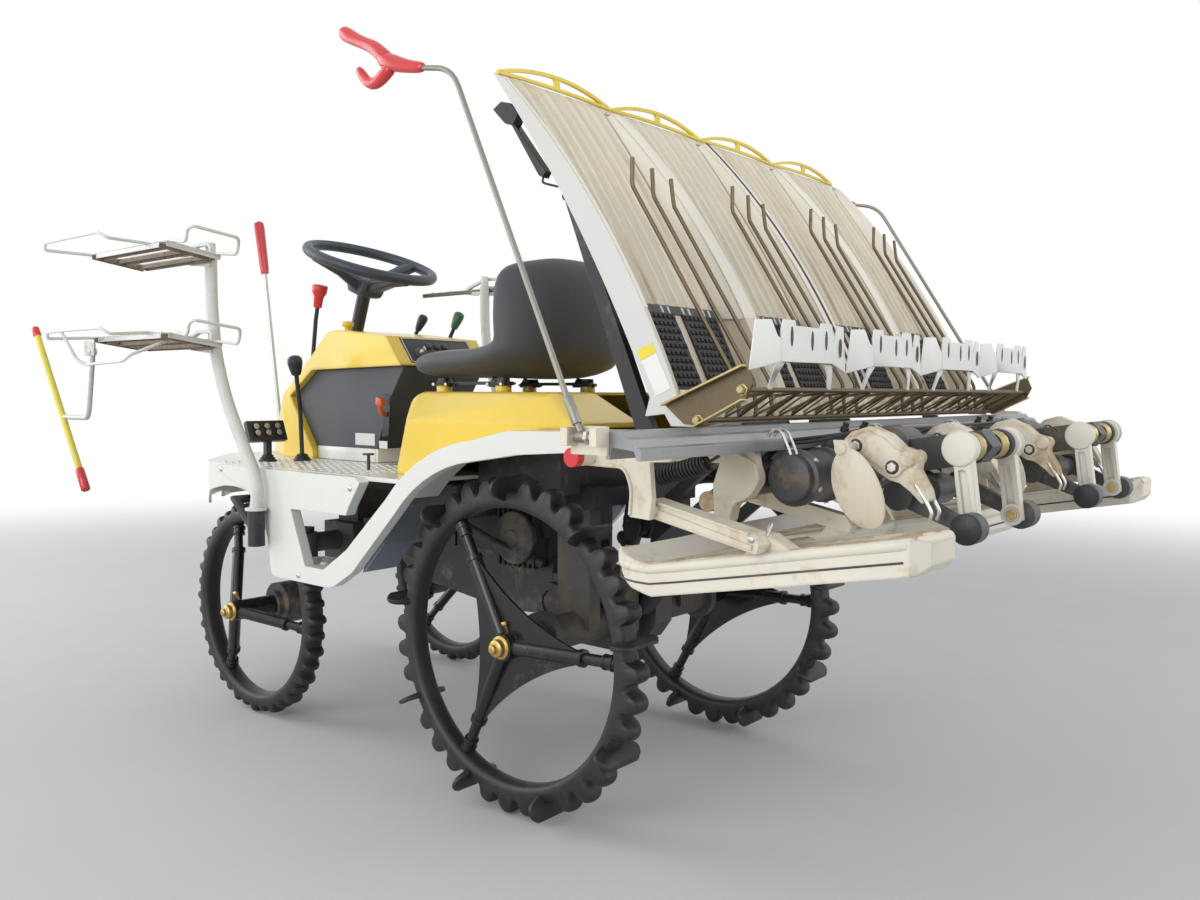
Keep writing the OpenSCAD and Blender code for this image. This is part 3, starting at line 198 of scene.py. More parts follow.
def worn(name, colour, rough=0.4, metal=0.0, mottle=0.06, dirt=0.3, dirt_colour=(0.20, 0.15, 0.10),
         streak=0.0, grain=0.0, grain_scale=900, chips=0.0, chip_colour=(0.10, 0.05, 0.03), edge=0.0015,
         coat=0.0, relief=1.0):
    """A used surface: its colour varies, dirt gathers in patches, rust runs down it and paint chips off"""
    f = Finish(name)
    broad = f.noise(3.2, 4, 0.6)
    fine = f.noise(46, 4, 0.6)
    tone = f.mix(scaled(colour, 1 - mottle), scaled(colour, 1 + mottle), f.span(broad, 0.35, 0.65))
    cover = f.noise(9, 6, 0.68, warp=0.6) * 0.75 + fine * 0.25
    mask = f.span(cover, 0.64 - 0.27 * dirt, 0.82 - 0.28 * dirt) * min(0.9, 0.35 + dirt)
    tone = f.mix(tone, dirt_colour, mask)
    if streak:
        runs = f.noise(26, 3, 0.6, stretch=(1, 1, 0.09)) * 0.7 + broad * 0.3
        tone = f.mix(tone, (0.36, 0.19, 0.07), f.span(runs, 0.54, 0.70) * streak)
    if chips:
        spots = f.noise(70, 3, 0.5, warp=1.2) * 0.6 + f.noise(12, 2) * 0.4
        tone = f.mix(tone, chip_colour, f.span(spots, 0.67 - 0.08 * chips, 0.70 - 0.08 * chips))
    roughness = rough + (fine - 0.5) * 0.12 + mask * (0.85 - rough) * 0.7
    bump = fine * 0.5 + f.noise(grain_scale, 2, 0.5) * grain if grain else fine * 0.6
    return f.surface(tone, roughness, metal, bump, (0.0003 + 0.0004 * grain) * relief, edge, coat)


def brushed(name, colour, rough=0.35, rust=0.2, along=(1, 0.03, 1), edge=0.001):
    """Bare or plated metal with fine lines and specks of rust"""
    f = Finish(name)
    lines = f.noise(420, 2, 0.6, stretch=along)
    patches = f.noise(18, 5, 0.65)
    tone = f.mix(scaled(colour, 0.8), scaled(colour, 1.1), lines * 0.5 + patches * 0.5)
    mask = f.span(patches * 0.7 + f.noise(90, 3) * 0.3, 0.74 - 0.3 * rust, 0.82 - 0.26 * rust)
    tone = f.mix(tone, (0.17, 0.08, 0.035), mask * (0.4 + 0.6 * rust))
    return f.surface(tone, rough + mask * 0.35 + lines * 0.12, 1 - mask * 0.8, lines, 0.00015, edge)


def rubber(name, mud, reach):
    """Black tyre rubber with patches of dried mud"""
    f = Finish(name)
    fine = f.noise(60, 5, 0.65)
    patches = f.noise(11, 5, 0.7, warp=0.5)
    tone = f.mix((0.008, 0.008, 0.010), (0.026, 0.026, 0.028), fine)
    mask = f.span(patches * 0.7 + fine * 0.3, 0.70 - reach, 0.86 - reach)
    tone = f.mix(tone, (0.16, 0.13, 0.095), mask * mud)
    tone = f.mix(tone, (0.09, 0.08, 0.07), f.span(f.noise(24, 3, 0.6), 0.5, 0.85) * 0.25)
    return f.surface(tone, 0.42 + fine * 0.14 + mask * 0.35 * mud, 0.0, fine * 0.6 + patches * 0.8,
                     0.0012, 0.0015)


FINISHES = {}


def make_finishes():
    c = bpy.context.scene.transplanter_colours
    white, cream, yellow, charcoal, red = (tuple(x) for x in (c.white, c.cream, c.yellow, c.charcoal, c.red))
    made = {
        "black_steel": worn("satin_black_paint", (0.018, 0.018, 0.021), 0.35, dirt=0.35, chips=0.35,
                            dirt_colour=(0.13, 0.11, 0.09)),
        "engine_metal": worn("grimy_engine_metal", (0.045, 0.042, 0.04), 0.55, 0.3, dirt=0.5,
                             dirt_colour=(0.10, 0.078, 0.055), grain=0.6, grain_scale=260),
        "dark_casting": worn("dark_painted_casting", (0.045, 0.045, 0.047), 0.5, dirt=0.55,
                             dirt_colour=(0.19, 0.16, 0.12), grain=0.6, grain_scale=240),
        "axle_casting": worn("dusty_axle_casting", (0.085, 0.08, 0.074), 0.6, 0.2, dirt=0.5,
                             dirt_colour=(0.16, 0.125, 0.085), grain=0.7, grain_scale=240),
        "white_plastic": worn("glossy_white_plastic", white, 0.32, mottle=0.012, dirt=0.10,
                              dirt_colour=(0.56, 0.52, 0.44), coat=0.25, edge=0.004, relief=0.2),
        "yellow_plastic": worn("glossy_yellow_plastic", yellow, 0.30, mottle=0.03, dirt=0.08,
                               dirt_colour=(0.60, 0.45, 0.12), coat=0.35, edge=0.013, relief=0.25),
        "charcoal_plastic": worn("grained_charcoal_plastic", charcoal, 0.5, mottle=0.08, dirt=0.14,
                                 dirt_colour=(0.16, 0.155, 0.15), grain=0.8, edge=0.005),
        "steering_plastic": worn("blue_black_grip", (0.035, 0.045, 0.062), 0.42, mottle=0.1, dirt=0.2,
                                 dirt_colour=(0.14, 0.15, 0.17), grain=0.5),
        "knob_plastic": worn("matt_black_knobs", (0.02, 0.021, 0.023), 0.45, dirt=0.15,
                             dirt_colour=(0.12, 0.11, 0.10)),
        "red_plastic": worn("glossy_red_plastic", red, 0.28, mottle=0.05, dirt=0.12,
                            dirt_colour=(0.30, 0.08, 0.07), coat=0.3),
        "green_plastic": worn("faded_green_plastic", (0.03, 0.13, 0.055), 0.4, mottle=0.1, dirt=0.15,
                              dirt_colour=(0.16, 0.18, 0.14)),
        "orange_plastic": worn("orange_plastic", (0.62, 0.10, 0.02), 0.35, dirt=0.1),
        "white_steel": worn("white_rack_paint", scaled(white, 0.98), 0.38, mottle=0.03, dirt=0.26,
                            dirt_colour=(0.38, 0.31, 0.22), chips=0.2,
                            chip_colour=(0.26, 0.13, 0.06), relief=0.4),
        "yellow_rod": worn("yellow_sleeve", (0.72, 0.62, 0.10), 0.42, mottle=0.08, dirt=0.2,
                           dirt_colour=(0.40, 0.34, 0.16)),
        "plated_pole": brushed("plated_pole", (0.42, 0.46, 0.40), 0.3, 0.15, (1, 1, 0.04)),
        "tyre_rubber": rubber("tyre_rubber", 0.45, 0.0),
        "tyre_muddy": rubber("muddy_tyre_rubber", 0.85, 0.14),
        "wheel_black": worn("scratched_wheel_paint", (0.013, 0.013, 0.015), 0.25, dirt=0.28,
                            dirt_colour=(0.15, 0.12, 0.09), chips=0.3),
        "cream_steel": worn("cream_painted_steel", cream, 0.42, mottle=0.06, dirt=0.42,
                            dirt_colour=(0.42, 0.30, 0.17), streak=0.45, chips=0.12,
                            chip_colour=(0.22, 0.10, 0.04), edge=0.002, relief=0.5),
        "arm_casting": worn("worn_arm_paint", scaled(cream, 0.92), 0.45, mottle=0.08, dirt=0.75,
                            dirt_colour=(0.44, 0.29, 0.14), streak=0.6, chips=0.12,
                            chip_colour=(0.24, 0.12, 0.05), grain=0.3, grain_scale=240, edge=0.003),
        "white_casting": worn("rocker_paint", (0.74, 0.71, 0.63), 0.4, mottle=0.05, dirt=0.36,
                              dirt_colour=(0.42, 0.33, 0.22), streak=0.2, chips=0.1,
                              chip_colour=(0.25, 0.14, 0.07), edge=0.003),
        "drive_casting": worn("dark_grey_drive_paint", (0.055, 0.057, 0.062), 0.42, mottle=0.1, dirt=0.5,
                              dirt_colour=(0.20, 0.15, 0.10), chips=0.3, grain=0.4,
                              grain_scale=260, edge=0.003),
        "float_plastic": worn("float_plastic", (0.76, 0.72, 0.62), 0.42, mottle=0.04, dirt=0.42,
                              dirt_colour=(0.50, 0.39, 0.25), grain=0.3, edge=0.006),
        "float_dirty": worn("muddy_float_deck", (0.68, 0.61, 0.48), 0.55, mottle=0.08, dirt=0.85,
                            dirt_colour=(0.40, 0.29, 0.17), streak=0.3, grain=0.3),
        "leaf_casting": worn("guard_leaf_paint", (0.66, 0.61, 0.49), 0.5, mottle=0.06, dirt=0.65,
                             dirt_colour=(0.45, 0.35, 0.22), streak=0.2),
        "rail_aluminium": brushed("extruded_rail", (0.34, 0.35, 0.36), 0.42, 0.15, (1, 0.03, 1)),
        "belt_rubber": worn("belt_rubber", (0.028, 0.028, 0.031), 0.6, dirt=0.4,
                            dirt_colour=(0.12, 0.10, 0.08), grain=0.5, grain_scale=500),
        "guard_yellow": worn("guard_yellow", (0.85, 0.66, 0.05), 0.35, mottle=0.06, dirt=0.15,
                             dirt_colour=(0.55, 0.42, 0.12), coat=0.2),
        "plated_rod": brushed("olive_plated_rod", (0.155, 0.125, 0.08), 0.42, 0.5, (1, 1, 0.05)),
        "gold_plate": brushed("gold_zinc_plate", (0.46, 0.38, 0.19), 0.36, 0.35, (1, 0.2, 1)),
        "brass": brushed("brass_nut", (0.60, 0.42, 0.16), 0.3, 0.2, (1, 1, 1)),
        "bolt_steel": brushed("zinc_bolt", (0.55, 0.54, 0.50), 0.34, 0.3, (1, 1, 1)),
        "cover_plastic": worn("cover_plastic", (0.83, 0.83, 0.80), 0.4, mottle=0.02, dirt=0.18,
                              dirt_colour=(0.55, 0.50, 0.42), edge=0.002),
        "marker_steel": brushed("marker_rod", (0.30, 0.29, 0.26), 0.45, 0.25, (1, 1, 0.05)),
        "grey_plastic": worn("grey_blue_flap", (0.17, 0.20, 0.25), 0.5, dirt=0.2),
        "blank_plate": worn("blank_plate", (0.70, 0.71, 0.70), 0.35, mottle=0.02, dirt=0.1),
    }
    made["rack_paint"] = rack_finish(scaled(white, 0.9))
    made["holder_steel"] = worn("holder_paint", (0.50, 0.51, 0.49), 0.4, 0.2, dirt=0.35,
                                dirt_colour=(0.30, 0.24, 0.17), relief=0.4)
    made["tray_plastic"] = tray_finish("tray_plastic", cream, 1.0)
    made["tray_wall"] = tray_finish("tray_wall_plastic", (0.78, 0.745, 0.655), 0.2)
    made["seat_vinyl"] = seat_finish(charcoal)
    FINISHES.update(made)


def rack_finish(white):
    """White paint, with painted shade, brown, on the undersides of the shelves"""
    f = Finish("rack_paint")
    fine, broad = f.noise(46, 4, 0.6), f.noise(7, 5, 0.65, warp=0.4)
    tone = f.mix(scaled(white, 0.93), scaled(white, 1.03), broad)
    tone = f.mix(tone, (0.38, 0.31, 0.22), f.span(broad * 0.7 + fine * 0.3, 0.54, 0.70) * 0.45)
    out = f.math("ABSOLUTE", f.part(f.objects, 1)) - SHELF_Y / 1000

    def underside(z):
        # how far a point stands above the plane of a shelf's underside
        above = f.height() - z / 1000 - out * 0.1459
        near = f.span(above, -0.012, -0.004) * (1 - f.span(above, 0.0062, 0.0082))
        return near * f.span(out, -0.004, 0.002)

    lower, upper = (underside(z) for z in SHELVES)
    under = (lower + upper) * (1 - f.span(out, 0.1350, 0.1357))
    under = under * f.span(f.part(f.objects, 0), AXLE_X + 0.8931, AXLE_X + 0.8940)
    # painted shade: the undersides of the shelves are darkened brown
    tone = f.mix(tone, (0.21, 0.145, 0.09), under * (0.62 + fine * 0.5))
    return f.surface(tone, 0.4 + fine * 0.1 + under * 0.3, 0.0, fine, 0.0002, 0.0015)


def tray_finish(name, cream, wear):
    """Cream moulded plastic with rust-coloured streaks that run down beside the ribs"""
    f = Finish(name)
    broad = f.noise(2.4, 4, 0.6)
    fine = f.noise(60, 4, 0.6)
    tone = f.mix(scaled(cream, 1.06), scaled(cream, 1.18), f.span(broad, 0.35, 0.62))
    lines = f.noise(46, 4, 0.62, stretch=(0.10, 1, 0.035)) * 0.7 + broad * 0.3
    low = 1 - f.span(f.height(), 0.84, 1.36)
    # dirt lies in the grooves between the ribs, 29 mm apart in each 300 mm row
    row = f.math("FLOORED_MODULO", f.part(f.objects, 1) + 0.6, 0.3)
    phase = f.math("FRACT", (row - 0.034) * (1 / 0.029))
    groove = f.span(f.math("ABSOLUTE", phase - 0.5), 0.16, 0.36)
    tone = f.mix(tone, (0.47, 0.40, 0.29), groove * (0.14 + lines * 0.36) * wear)
    tone = f.mix(tone, (0.42, 0.31, 0.18), f.span(lines, 0.46, 0.66) * (low * 0.5 + 0.28) * wear)
    runs = f.span(fine * 0.35 + lines * 0.65, 0.58, 0.70) * (low * 0.55 + 0.1) * wear
    tone = f.mix(tone, (0.24, 0.155, 0.085), runs)
    # the outer walls have stayed whiter
    outside = f.span(f.math("ABSOLUTE", f.part(f.objects, 1)), 0.6030, 0.6038)
    tone = f.mix(tone, (0.66, 0.665, 0.645), outside * (1 - f.span(lines, 0.52, 0.74) * 0.3))
    return f.surface(tone, 0.38 + fine * 0.14, 0.0, fine, 0.0001, 0.0025, 0.15)


def seat_finish(charcoal):
    """Vinyl with a leather-like grain, smoother in broad patches"""
    f = Finish("grained_seat_vinyl")
    grain = f.speckle(520)
    fine = f.noise(140, 4, 0.6)
    broad = f.noise(5, 3)
    tone = f.mix(scaled(charcoal, 0.62), scaled(charcoal, 0.95), broad * 0.6 + fine * 0.4)
    dust = f.span(f.noise(16, 5, 0.7) * 0.6 + broad * 0.4, 0.55, 0.75)
    tone = f.mix(tone, (0.11, 0.11, 0.115), dust * 0.35)
    return f.surface(tone, 0.5 + fine * 0.12 - broad * 0.1, 0.0, grain + fine * 0.5, 0.0004, sheen=0.15)


def linked(name, data):
    obj = bpy.data.objects.new(name, data)
    bpy.context.scene.collection.objects.link(obj)
    return obj


def finished(name, mesh, finish, body, smooth):
    """Hands a mesh to the frame as one piece that moves with a body"""
    obj = linked(name, mesh)
    mesh.materials.clear()
    mesh.materials.append(FINISHES[finish])
    mesh.shade_smooth()
    mesh.set_sharp_from_angle(angle=math.radians(smooth))
    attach(obj, body)
    return obj


def applied(obj):
    """The object's mesh with its modifiers worked in"""
    deps = bpy.context.evaluated_depsgraph_get()
    mesh = bpy.data.meshes.new_from_object(obj.evaluated_get(deps))
    bpy.data.objects.remove(obj)
    return mesh


def tidy_mesh(name, build, bevel=0.0, segments=2, subdivisions=0, angle=35):
    """A mesh from a function that fills a bmesh, with its edges rounded"""
    bm = bmesh.new()
    build(bm)
    bmesh.ops.remove_doubles(bm, verts=bm.verts, dist=1e-6)
    bmesh.ops.recalc_face_normals(bm, faces=bm.faces)
    mesh = bpy.data.meshes.new(name)
    bm.to_mesh(mesh)
    bm.free()
    if not bevel and not subdivisions:
        return mesh
    obj = linked(name, mesh)
    if bevel:
        m = obj.modifiers.new("round", "BEVEL")
        m.width, m.segments, m.limit_method, m.angle_limit = bevel, segments, "ANGLE", math.radians(angle)
        m.use_clamp_overlap = True
    if subdivisions:
        m = obj.modifiers.new("smooth", "SUBSURF")
        m.levels = m.render_levels = subdivisions
    return applied(obj)


def piece(name, build, finish, body, slot, smooth=35, bevel=0.0, segments=2, **rounding):
    """One piece made of the mesh that build fills"""
    return finished(name, tidy_mesh(name, build, bevel, segments, **rounding), finish, body, smooth)


def loft(bm, loops, closed=True, caps=True):
    """Faces between loops of points, each loop the next section of the form"""
    made = [[bm.verts.new(p) for p in loop] for loop in loops]
    count = len(loops[0])
    for a, b in zip(made, made[1:]):
        for i in range(count if closed else count - 1):
            j = (i + 1) % count
            bm.faces.new((a[i], a[j], b[j], b[i]))
    if caps and closed:
        bm.faces.new(list(reversed(made[0])))
        bm.faces.new(made[-1])
    return made


def slab(bm, outline, y0, y1):
    """A flat outline of [x, z] points made as thick as from y0 to y1, in either order"""
    loft(bm, [[place(x, y, z) for x, z in outline] for y in sorted((y0, y1))])


def block(bm, low, high):
    (x0, y0, z0), (x1, y1, z1) = low, high
    loft(bm, [[place(x, y, z) for x, y in ((x0, y0), (x1, y0), (x1, y1), (x0, y1))] for z in (z0, z1)])


def circle(sides, start=0.0):
    """Angles of equal steps around a circle"""
    return [2 * math.pi * (k + start) / sides for k in range(sides)]


def turned(bm, start, axis, profile, sides=24):
    """A round form about a line: profile holds (distance along it, radius) in millimetres"""
    axis = Vector(axis).normalized()
    side = axis.orthogonal().normalized()
    other = axis.cross(side)
    loops = []
    for along, r in profile:
        middle = start + axis * along / 1000
        loops.append([middle + (side * math.cos(a) + other * math.sin(a)) * r / 1000 for a in circle(sides)])
    loft(bm, loops)


def tube(bm, points, radius, sides=10):
    """A round bar along a line of points given in metres, its ends closed"""
    count = len(points)
    directions = [(points[min(i + 1, count - 1)] - points[max(i - 1, 0)]).normalized() for i in range(count)]
    side = directions[0].orthogonal().normalized()
    loops = []
    for point, d in zip(points, directions):
        side = (side - d * side.dot(d)).normalized()
        other = d.cross(side)
        loops.append([point + (side * math.cos(a) + other * math.sin(a)) * radius / 1000
                      for a in circle(sides)])
    loft(bm, loops)


def rounded(points, steps=6):
    """A smooth line through corner points, each corner turned into a short curve"""
    line = [points[0]]
    for a, b, c in zip(points, points[1:], points[2:]):
        reach = min((b - a).length, (c - b).length) * 0.42
        p, q = b + (a - b).normalized() * reach, b + (c - b).normalized() * reach
        line += [p.lerp(b, t).lerp(b.lerp(q, t), t) for t in (k / steps for k in range(steps + 1))]
    return line + [points[-1]]


def wire(bm, points, radius, sides=10, steps=6):
    """A round bar along (x, y, z) points in millimetres, its corners turned into short curves"""
    tube(bm, rounded([place(*p) for p in points], steps), radius, sides)


def coil(a, b, radius, turns, per_turn=14):
    """Points of a helical spring between two places"""
    d = (b - a).normalized()
    side = d.orthogonal().normalized()
    other = d.cross(side)
    count = turns * per_turn
    angles = [2 * math.pi * k / per_turn for k in range(count + 1)]
    return [a.lerp(b, k / count) + (side * math.cos(t) + other * math.sin(t)) * radius / 1000
            for k, t in enumerate(angles)]


def mirrored(bm):
    """Adds the right-hand copy of everything built so far"""
    copy = bmesh.ops.duplicate(bm, geom=bm.verts[:] + bm.edges[:] + bm.faces[:])["geom"]
    for v in copy:
        if isinstance(v, bmesh.types.BMVert):
            v.co.y = -v.co.y
    bmesh.ops.reverse_faces(bm, faces=[g for g in copy if isinstance(g, bmesh.types.BMFace)])


def repeat_tree(name):
    """Geometry nodes that set one small form at each marked point, facing and lying along its directions"""
    tree = bpy.data.node_groups.new(name, "GeometryNodeTree")
    face = tree.interface
    face.new_socket("Geometry", in_out="INPUT", socket_type="NodeSocketGeometry")
    face.new_socket("Form", in_out="INPUT", socket_type="NodeSocketObject")
    for socket in ("Across", "Along", "Rise"):
        face.new_socket(socket, in_out="INPUT", socket_type="NodeSocketFloat").default_value = 1.0
    face.new_socket("Finish", in_out="INPUT", socket_type="NodeSocketMaterial")
    face.new_socket("Geometry", in_out="OUTPUT", socket_type="NodeSocketGeometry")
    nodes, link = tree.nodes, tree.links.new
    start, end = nodes.new("NodeGroupInput"), nodes.new("NodeGroupOutput")
    info = nodes.new("GeometryNodeObjectInfo")
    link(start.outputs["Form"], info.inputs["Object"])
    turn = None
    for attribute, axis in (("facing", "Z"), ("along", "X")):
        read = nodes.new("GeometryNodeInputNamedAttribute")
        read.data_type = "FLOAT_VECTOR"
        read.inputs["Name"].default_value = attribute
        align = nodes.new("FunctionNodeAlignRotationToVector")
        align.axis = axis
        if axis == "X":
            align.pivot_axis = "Z"
            link(turn.outputs[0], align.inputs["Rotation"])
        link(read.outputs["Attribute"], align.inputs["Vector"])
        turn = align
    size = nodes.new("ShaderNodeCombineXYZ")
    for i, socket in enumerate(("Along", "Across", "Rise")):
        link(start.outputs[socket], size.inputs[i])
    copies = nodes.new("GeometryNodeInstanceOnPoints")
    link(start.outputs["Geometry"], copies.inputs["Points"])
    link(info.outputs["Geometry"], copies.inputs["Instance"])
    link(turn.outputs[0], copies.inputs["Rotation"])
    link(size.outputs[0], copies.inputs["Scale"])
    real, paint = nodes.new("GeometryNodeRealizeInstances"), nodes.new("GeometryNodeSetMaterial")
    link(copies.outputs[0], real.inputs[0])
    link(real.outputs[0], paint.inputs["Geometry"])
    link(start.outputs["Finish"], paint.inputs["Material"])
    link(paint.outputs[0], end.inputs[0])
    return tree


def small_form(kind):
    """One unit form of a few dozen faces: 1 mm across its half width, standing on its point"""
    profile, sides = {
        "hexagon": (((0, 1.0), (0.75, 1.0), (0.9, 0.86)), 6),
        "dome": (((0, 1.0), (0.35, 0.96), (0.7, 0.74), (0.95, 0.36)), 12),
        "disc": (((0, 1.0), (0.85, 1.0), (1.0, 0.9)), 16),
        "bar": (((0, 1.0), (0.7, 0.92), (1.0, 0.7)), 4),
    }[kind]
    if kind == "bar":
        around = [(1, 1), (-1, 1), (-1, -1), (1, -1)]
    else:
        around = [(math.cos(a), math.sin(a)) for a in circle(sides, 0.5)]
    bm = bmesh.new()
    loft(bm, [[Vector((x * r, y * r, h)) / 1000 for x, y in around] for h, r in profile])
    mesh = bpy.data.meshes.new(kind)
    bm.to_mesh(mesh)
    bm.free()
    return linked("form_" + kind, mesh)


def repeated(name, kind, spots, finish, body, across=5.0, along=None, rise=4.0, smooth=30):
    """Copies of a small form at spots, each (point, facing, along), as one piece on one body"""
    tree = bpy.data.node_groups.get("small_form_rows") or repeat_tree("small_form_rows")
    mesh = bpy.data.meshes.new(name)
    mesh.from_pydata([s[0] for s in spots], [], [])
    for label, index in (("facing", 1), ("along", 2)):
        attribute = mesh.attributes.new(label, "FLOAT_VECTOR", "POINT")
        for i, spot in enumerate(spots):
            attribute.data[i].vector = spot[index]
    if isinstance(kind, str):
        form = small_form(kind)
    else:
        form = linked("form_" + name, tidy_mesh("form_" + name, kind))
    obj = linked(name, mesh)
    modifier = obj.modifiers.new("copies", "NODES")
    modifier.node_group = tree
    sizes = {"Form": form, "Across": float(across), "Along": float(along or across), "Rise": float(rise),
             "Finish": FINISHES[finish]}
    for item in tree.interface.items_tree:
        if item.in_out == "INPUT" and item.name in sizes:
            modifier[item.identifier] = sizes[item.name]
    made = applied(obj)
    bpy.data.objects.remove(form)
    return finished(name, made, finish, body, smooth)


class TransplanterColours(bpy.types.PropertyGroup):
    white: FloatVectorProperty(name="White", description="Body panels and racks", subtype="COLOR",
                               default=(0.74, 0.75, 0.71), min=0, max=1)
    cream: FloatVectorProperty(name="Cream", description="Seedling tray, float arms and planting arms",
                               subtype="COLOR", default=(0.72, 0.67, 0.54), min=0, max=1)
    yellow: FloatVectorProperty(name="Yellow", description="Hoods", subtype="COLOR",
                                default=(0.84, 0.60, 0.055), min=0, max=1)
    charcoal: FloatVectorProperty(name="Charcoal", description="Console and seat", subtype="COLOR",
                                  default=(0.062, 0.066, 0.078), min=0, max=1)
    red: FloatVectorProperty(name="Red", description="Marker forks, caps and rod ends", subtype="COLOR",
                             default=(0.62, 0.028, 0.032), min=0, max=1)


class TransplanterSizes(bpy.types.PropertyGroup):
    bolt: FloatProperty(name="Bolt head", description="Half width of a bolt head, in millimetres",
                        default=7.0, min=4, max=12)
    seat_crown: FloatProperty(name="Seat crown",
                              description="How far the seat's middle stands above its edges, in millimetres",
                              default=14.0, min=0, max=30)
    tray_ribs: IntProperty(name="Tray ribs", description="Lengthwise ribs on the tray's floor in each row",
                           default=8, min=2, max=12)
    floor_tone: FloatProperty(name="Floor tone", description="Grey of the studio floor", default=0.62,
                              min=0.1, max=0.9)


class TRANSPLANTER_OT_stage(bpy.types.Operator):
    """Sets the floor, the soft lights and the camera at the photograph's place"""

    bl_idname = "transplanter.stage"
    bl_label = "Stage"

    def execute(self, context):
        scene = context.scene
        scene.view_settings.view_transform = "Standard"
        f = Finish("studio_floor")
        tone = scene.transplanter_sizes.floor_tone
        colour = f.mix(scaled((tone,) * 3, 0.97), scaled((tone,) * 3, 1.03), f.noise(3, 4))
        plain = f.add("ShaderNodeBsdfDiffuse", {}, {"Color": colour})
        x, y = f.part(f.objects, 0), f.part(f.objects, 1)
        far = f.span(x * x + y * y, 5.0, 42.0)
        camera_ray, glossy_ray = (f.add("ShaderNodeLightPath", {}, {}, ray)
                                  for ray in ("Is Camera Ray", "Is Glossy Ray"))
        white = f.add("ShaderNodeEmission", {}, {"Color": (1, 1, 1, 1), "Strength": 1.0})
        f.add_output(f.add("ShaderNodeMixShader", {}, {0: far * (camera_ray + glossy_ray),
                                                       1: plain, 2: white}))
        bpy.ops.mesh.primitive_plane_add(size=60, location=(0, 0, -0.001))
        floor = context.active_object
        floor.name = "studio_floor"
        floor.data.materials.append(f.material)
        world = bpy.data.worlds.new("studio")
        scene.world = world
        world.use_nodes = True
        nodes, links = world.node_tree.nodes, world.node_tree.links
        nodes.clear()
        path = nodes.new("ShaderNodeLightPath")
        seen = path.outputs["Is Camera Ray"]
        for ray in ("Is Transmission Ray", "Is Glossy Ray"):
            either = nodes.new("ShaderNodeMath")
            either.operation = "MAXIMUM"
            links.new(seen, either.inputs[0])
            links.new(path.outputs[ray], either.inputs[1])
            seen = either.outputs[0]
        mix, out = nodes.new("ShaderNodeMixShader"), nodes.new("ShaderNodeOutputWorld")
        links.new(seen, mix.inputs[0])
        for i, colour, strength in ((1, (0.97, 0.985, 1, 1), 0.62), (2, (1, 1, 1, 1), 1.0)):
            light = nodes.new("ShaderNodeBackground")
            light.inputs["Color"].default_value, light.inputs["Strength"].default_value = colour, strength
            links.new(light.outputs[0], mix.inputs[i])
        links.new(mix.outputs[0], out.inputs["Surface"])
        for name, at, aim, size, watts in (("key", (-0.4, 5.8, 2.3), (0, 0, 0.6), 3.4, 145),
                                           ("back", (-4.6, -1.6, 2.6), (0, 0, 0.8), 3.0, 60),
                                           ("side", (4.0, 2.2, 2.2), (0.3, 0, 0.6), 3.0, 75)):
            lamp = bpy.data.lights.new(name, "AREA")
            lamp.size, lamp.energy = size, watts
            obj = linked(name, lamp)
            obj.location = at
            obj.rotation_euler = (Vector(aim) - Vector(at)).to_track_quat("-Z", "Y").to_euler()
        camera = bpy.data.cameras.new("camera")
        # the fitted focal length is 1014.3 pixels of a picture 1200 wide
        camera.sensor_width, camera.lens = 36.0, 1014.3 / 1200 * 36
        camera.clip_start, camera.clip_end = 0.05, 100
        obj = linked("camera", camera)
        yaw, pitch, roll = math.radians(-50.036), math.radians(3.32), math.radians(0.256)
        ahead = Vector((math.cos(pitch) * math.cos(yaw), math.cos(pitch) * math.sin(yaw), -math.sin(pitch)))
        level = Vector((math.sin(yaw), -math.cos(yaw), 0))
        upright = level.cross(ahead)
        right = level * math.cos(roll) + upright * math.sin(roll)
        up = upright * math.cos(roll) - level * math.sin(roll)
        turn = Matrix((right, up, -ahead)).transposed().to_4x4()
        turn.translation = place(-1438.2, 1814.3, 859.3)
        obj.matrix_world = turn
        scene.camera = obj
        return {"FINISHED"}


class TRANSPLANTER_OT_finishes(bpy.types.Operator):
    """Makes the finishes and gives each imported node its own"""

    bl_idname = "transplanter.finishes"
    bl_label = "Finishes"

    def execute(self, context):
        make_finishes()
        slots = {s["node"]: s["material_slot"] for s in frame["record"]["subparts"]}
        for name, obj in NODES.items():
            finish = FINISHES[slots[name]]
            if name in ("rear_tyre_right", "front_tyre_right"):
                finish = FINISHES["tyre_muddy"]
            if not obj.material_slots:
                obj.data.materials.append(finish)
            for s in obj.material_slots:
                s.material = finish
        return {"FINISHED"}


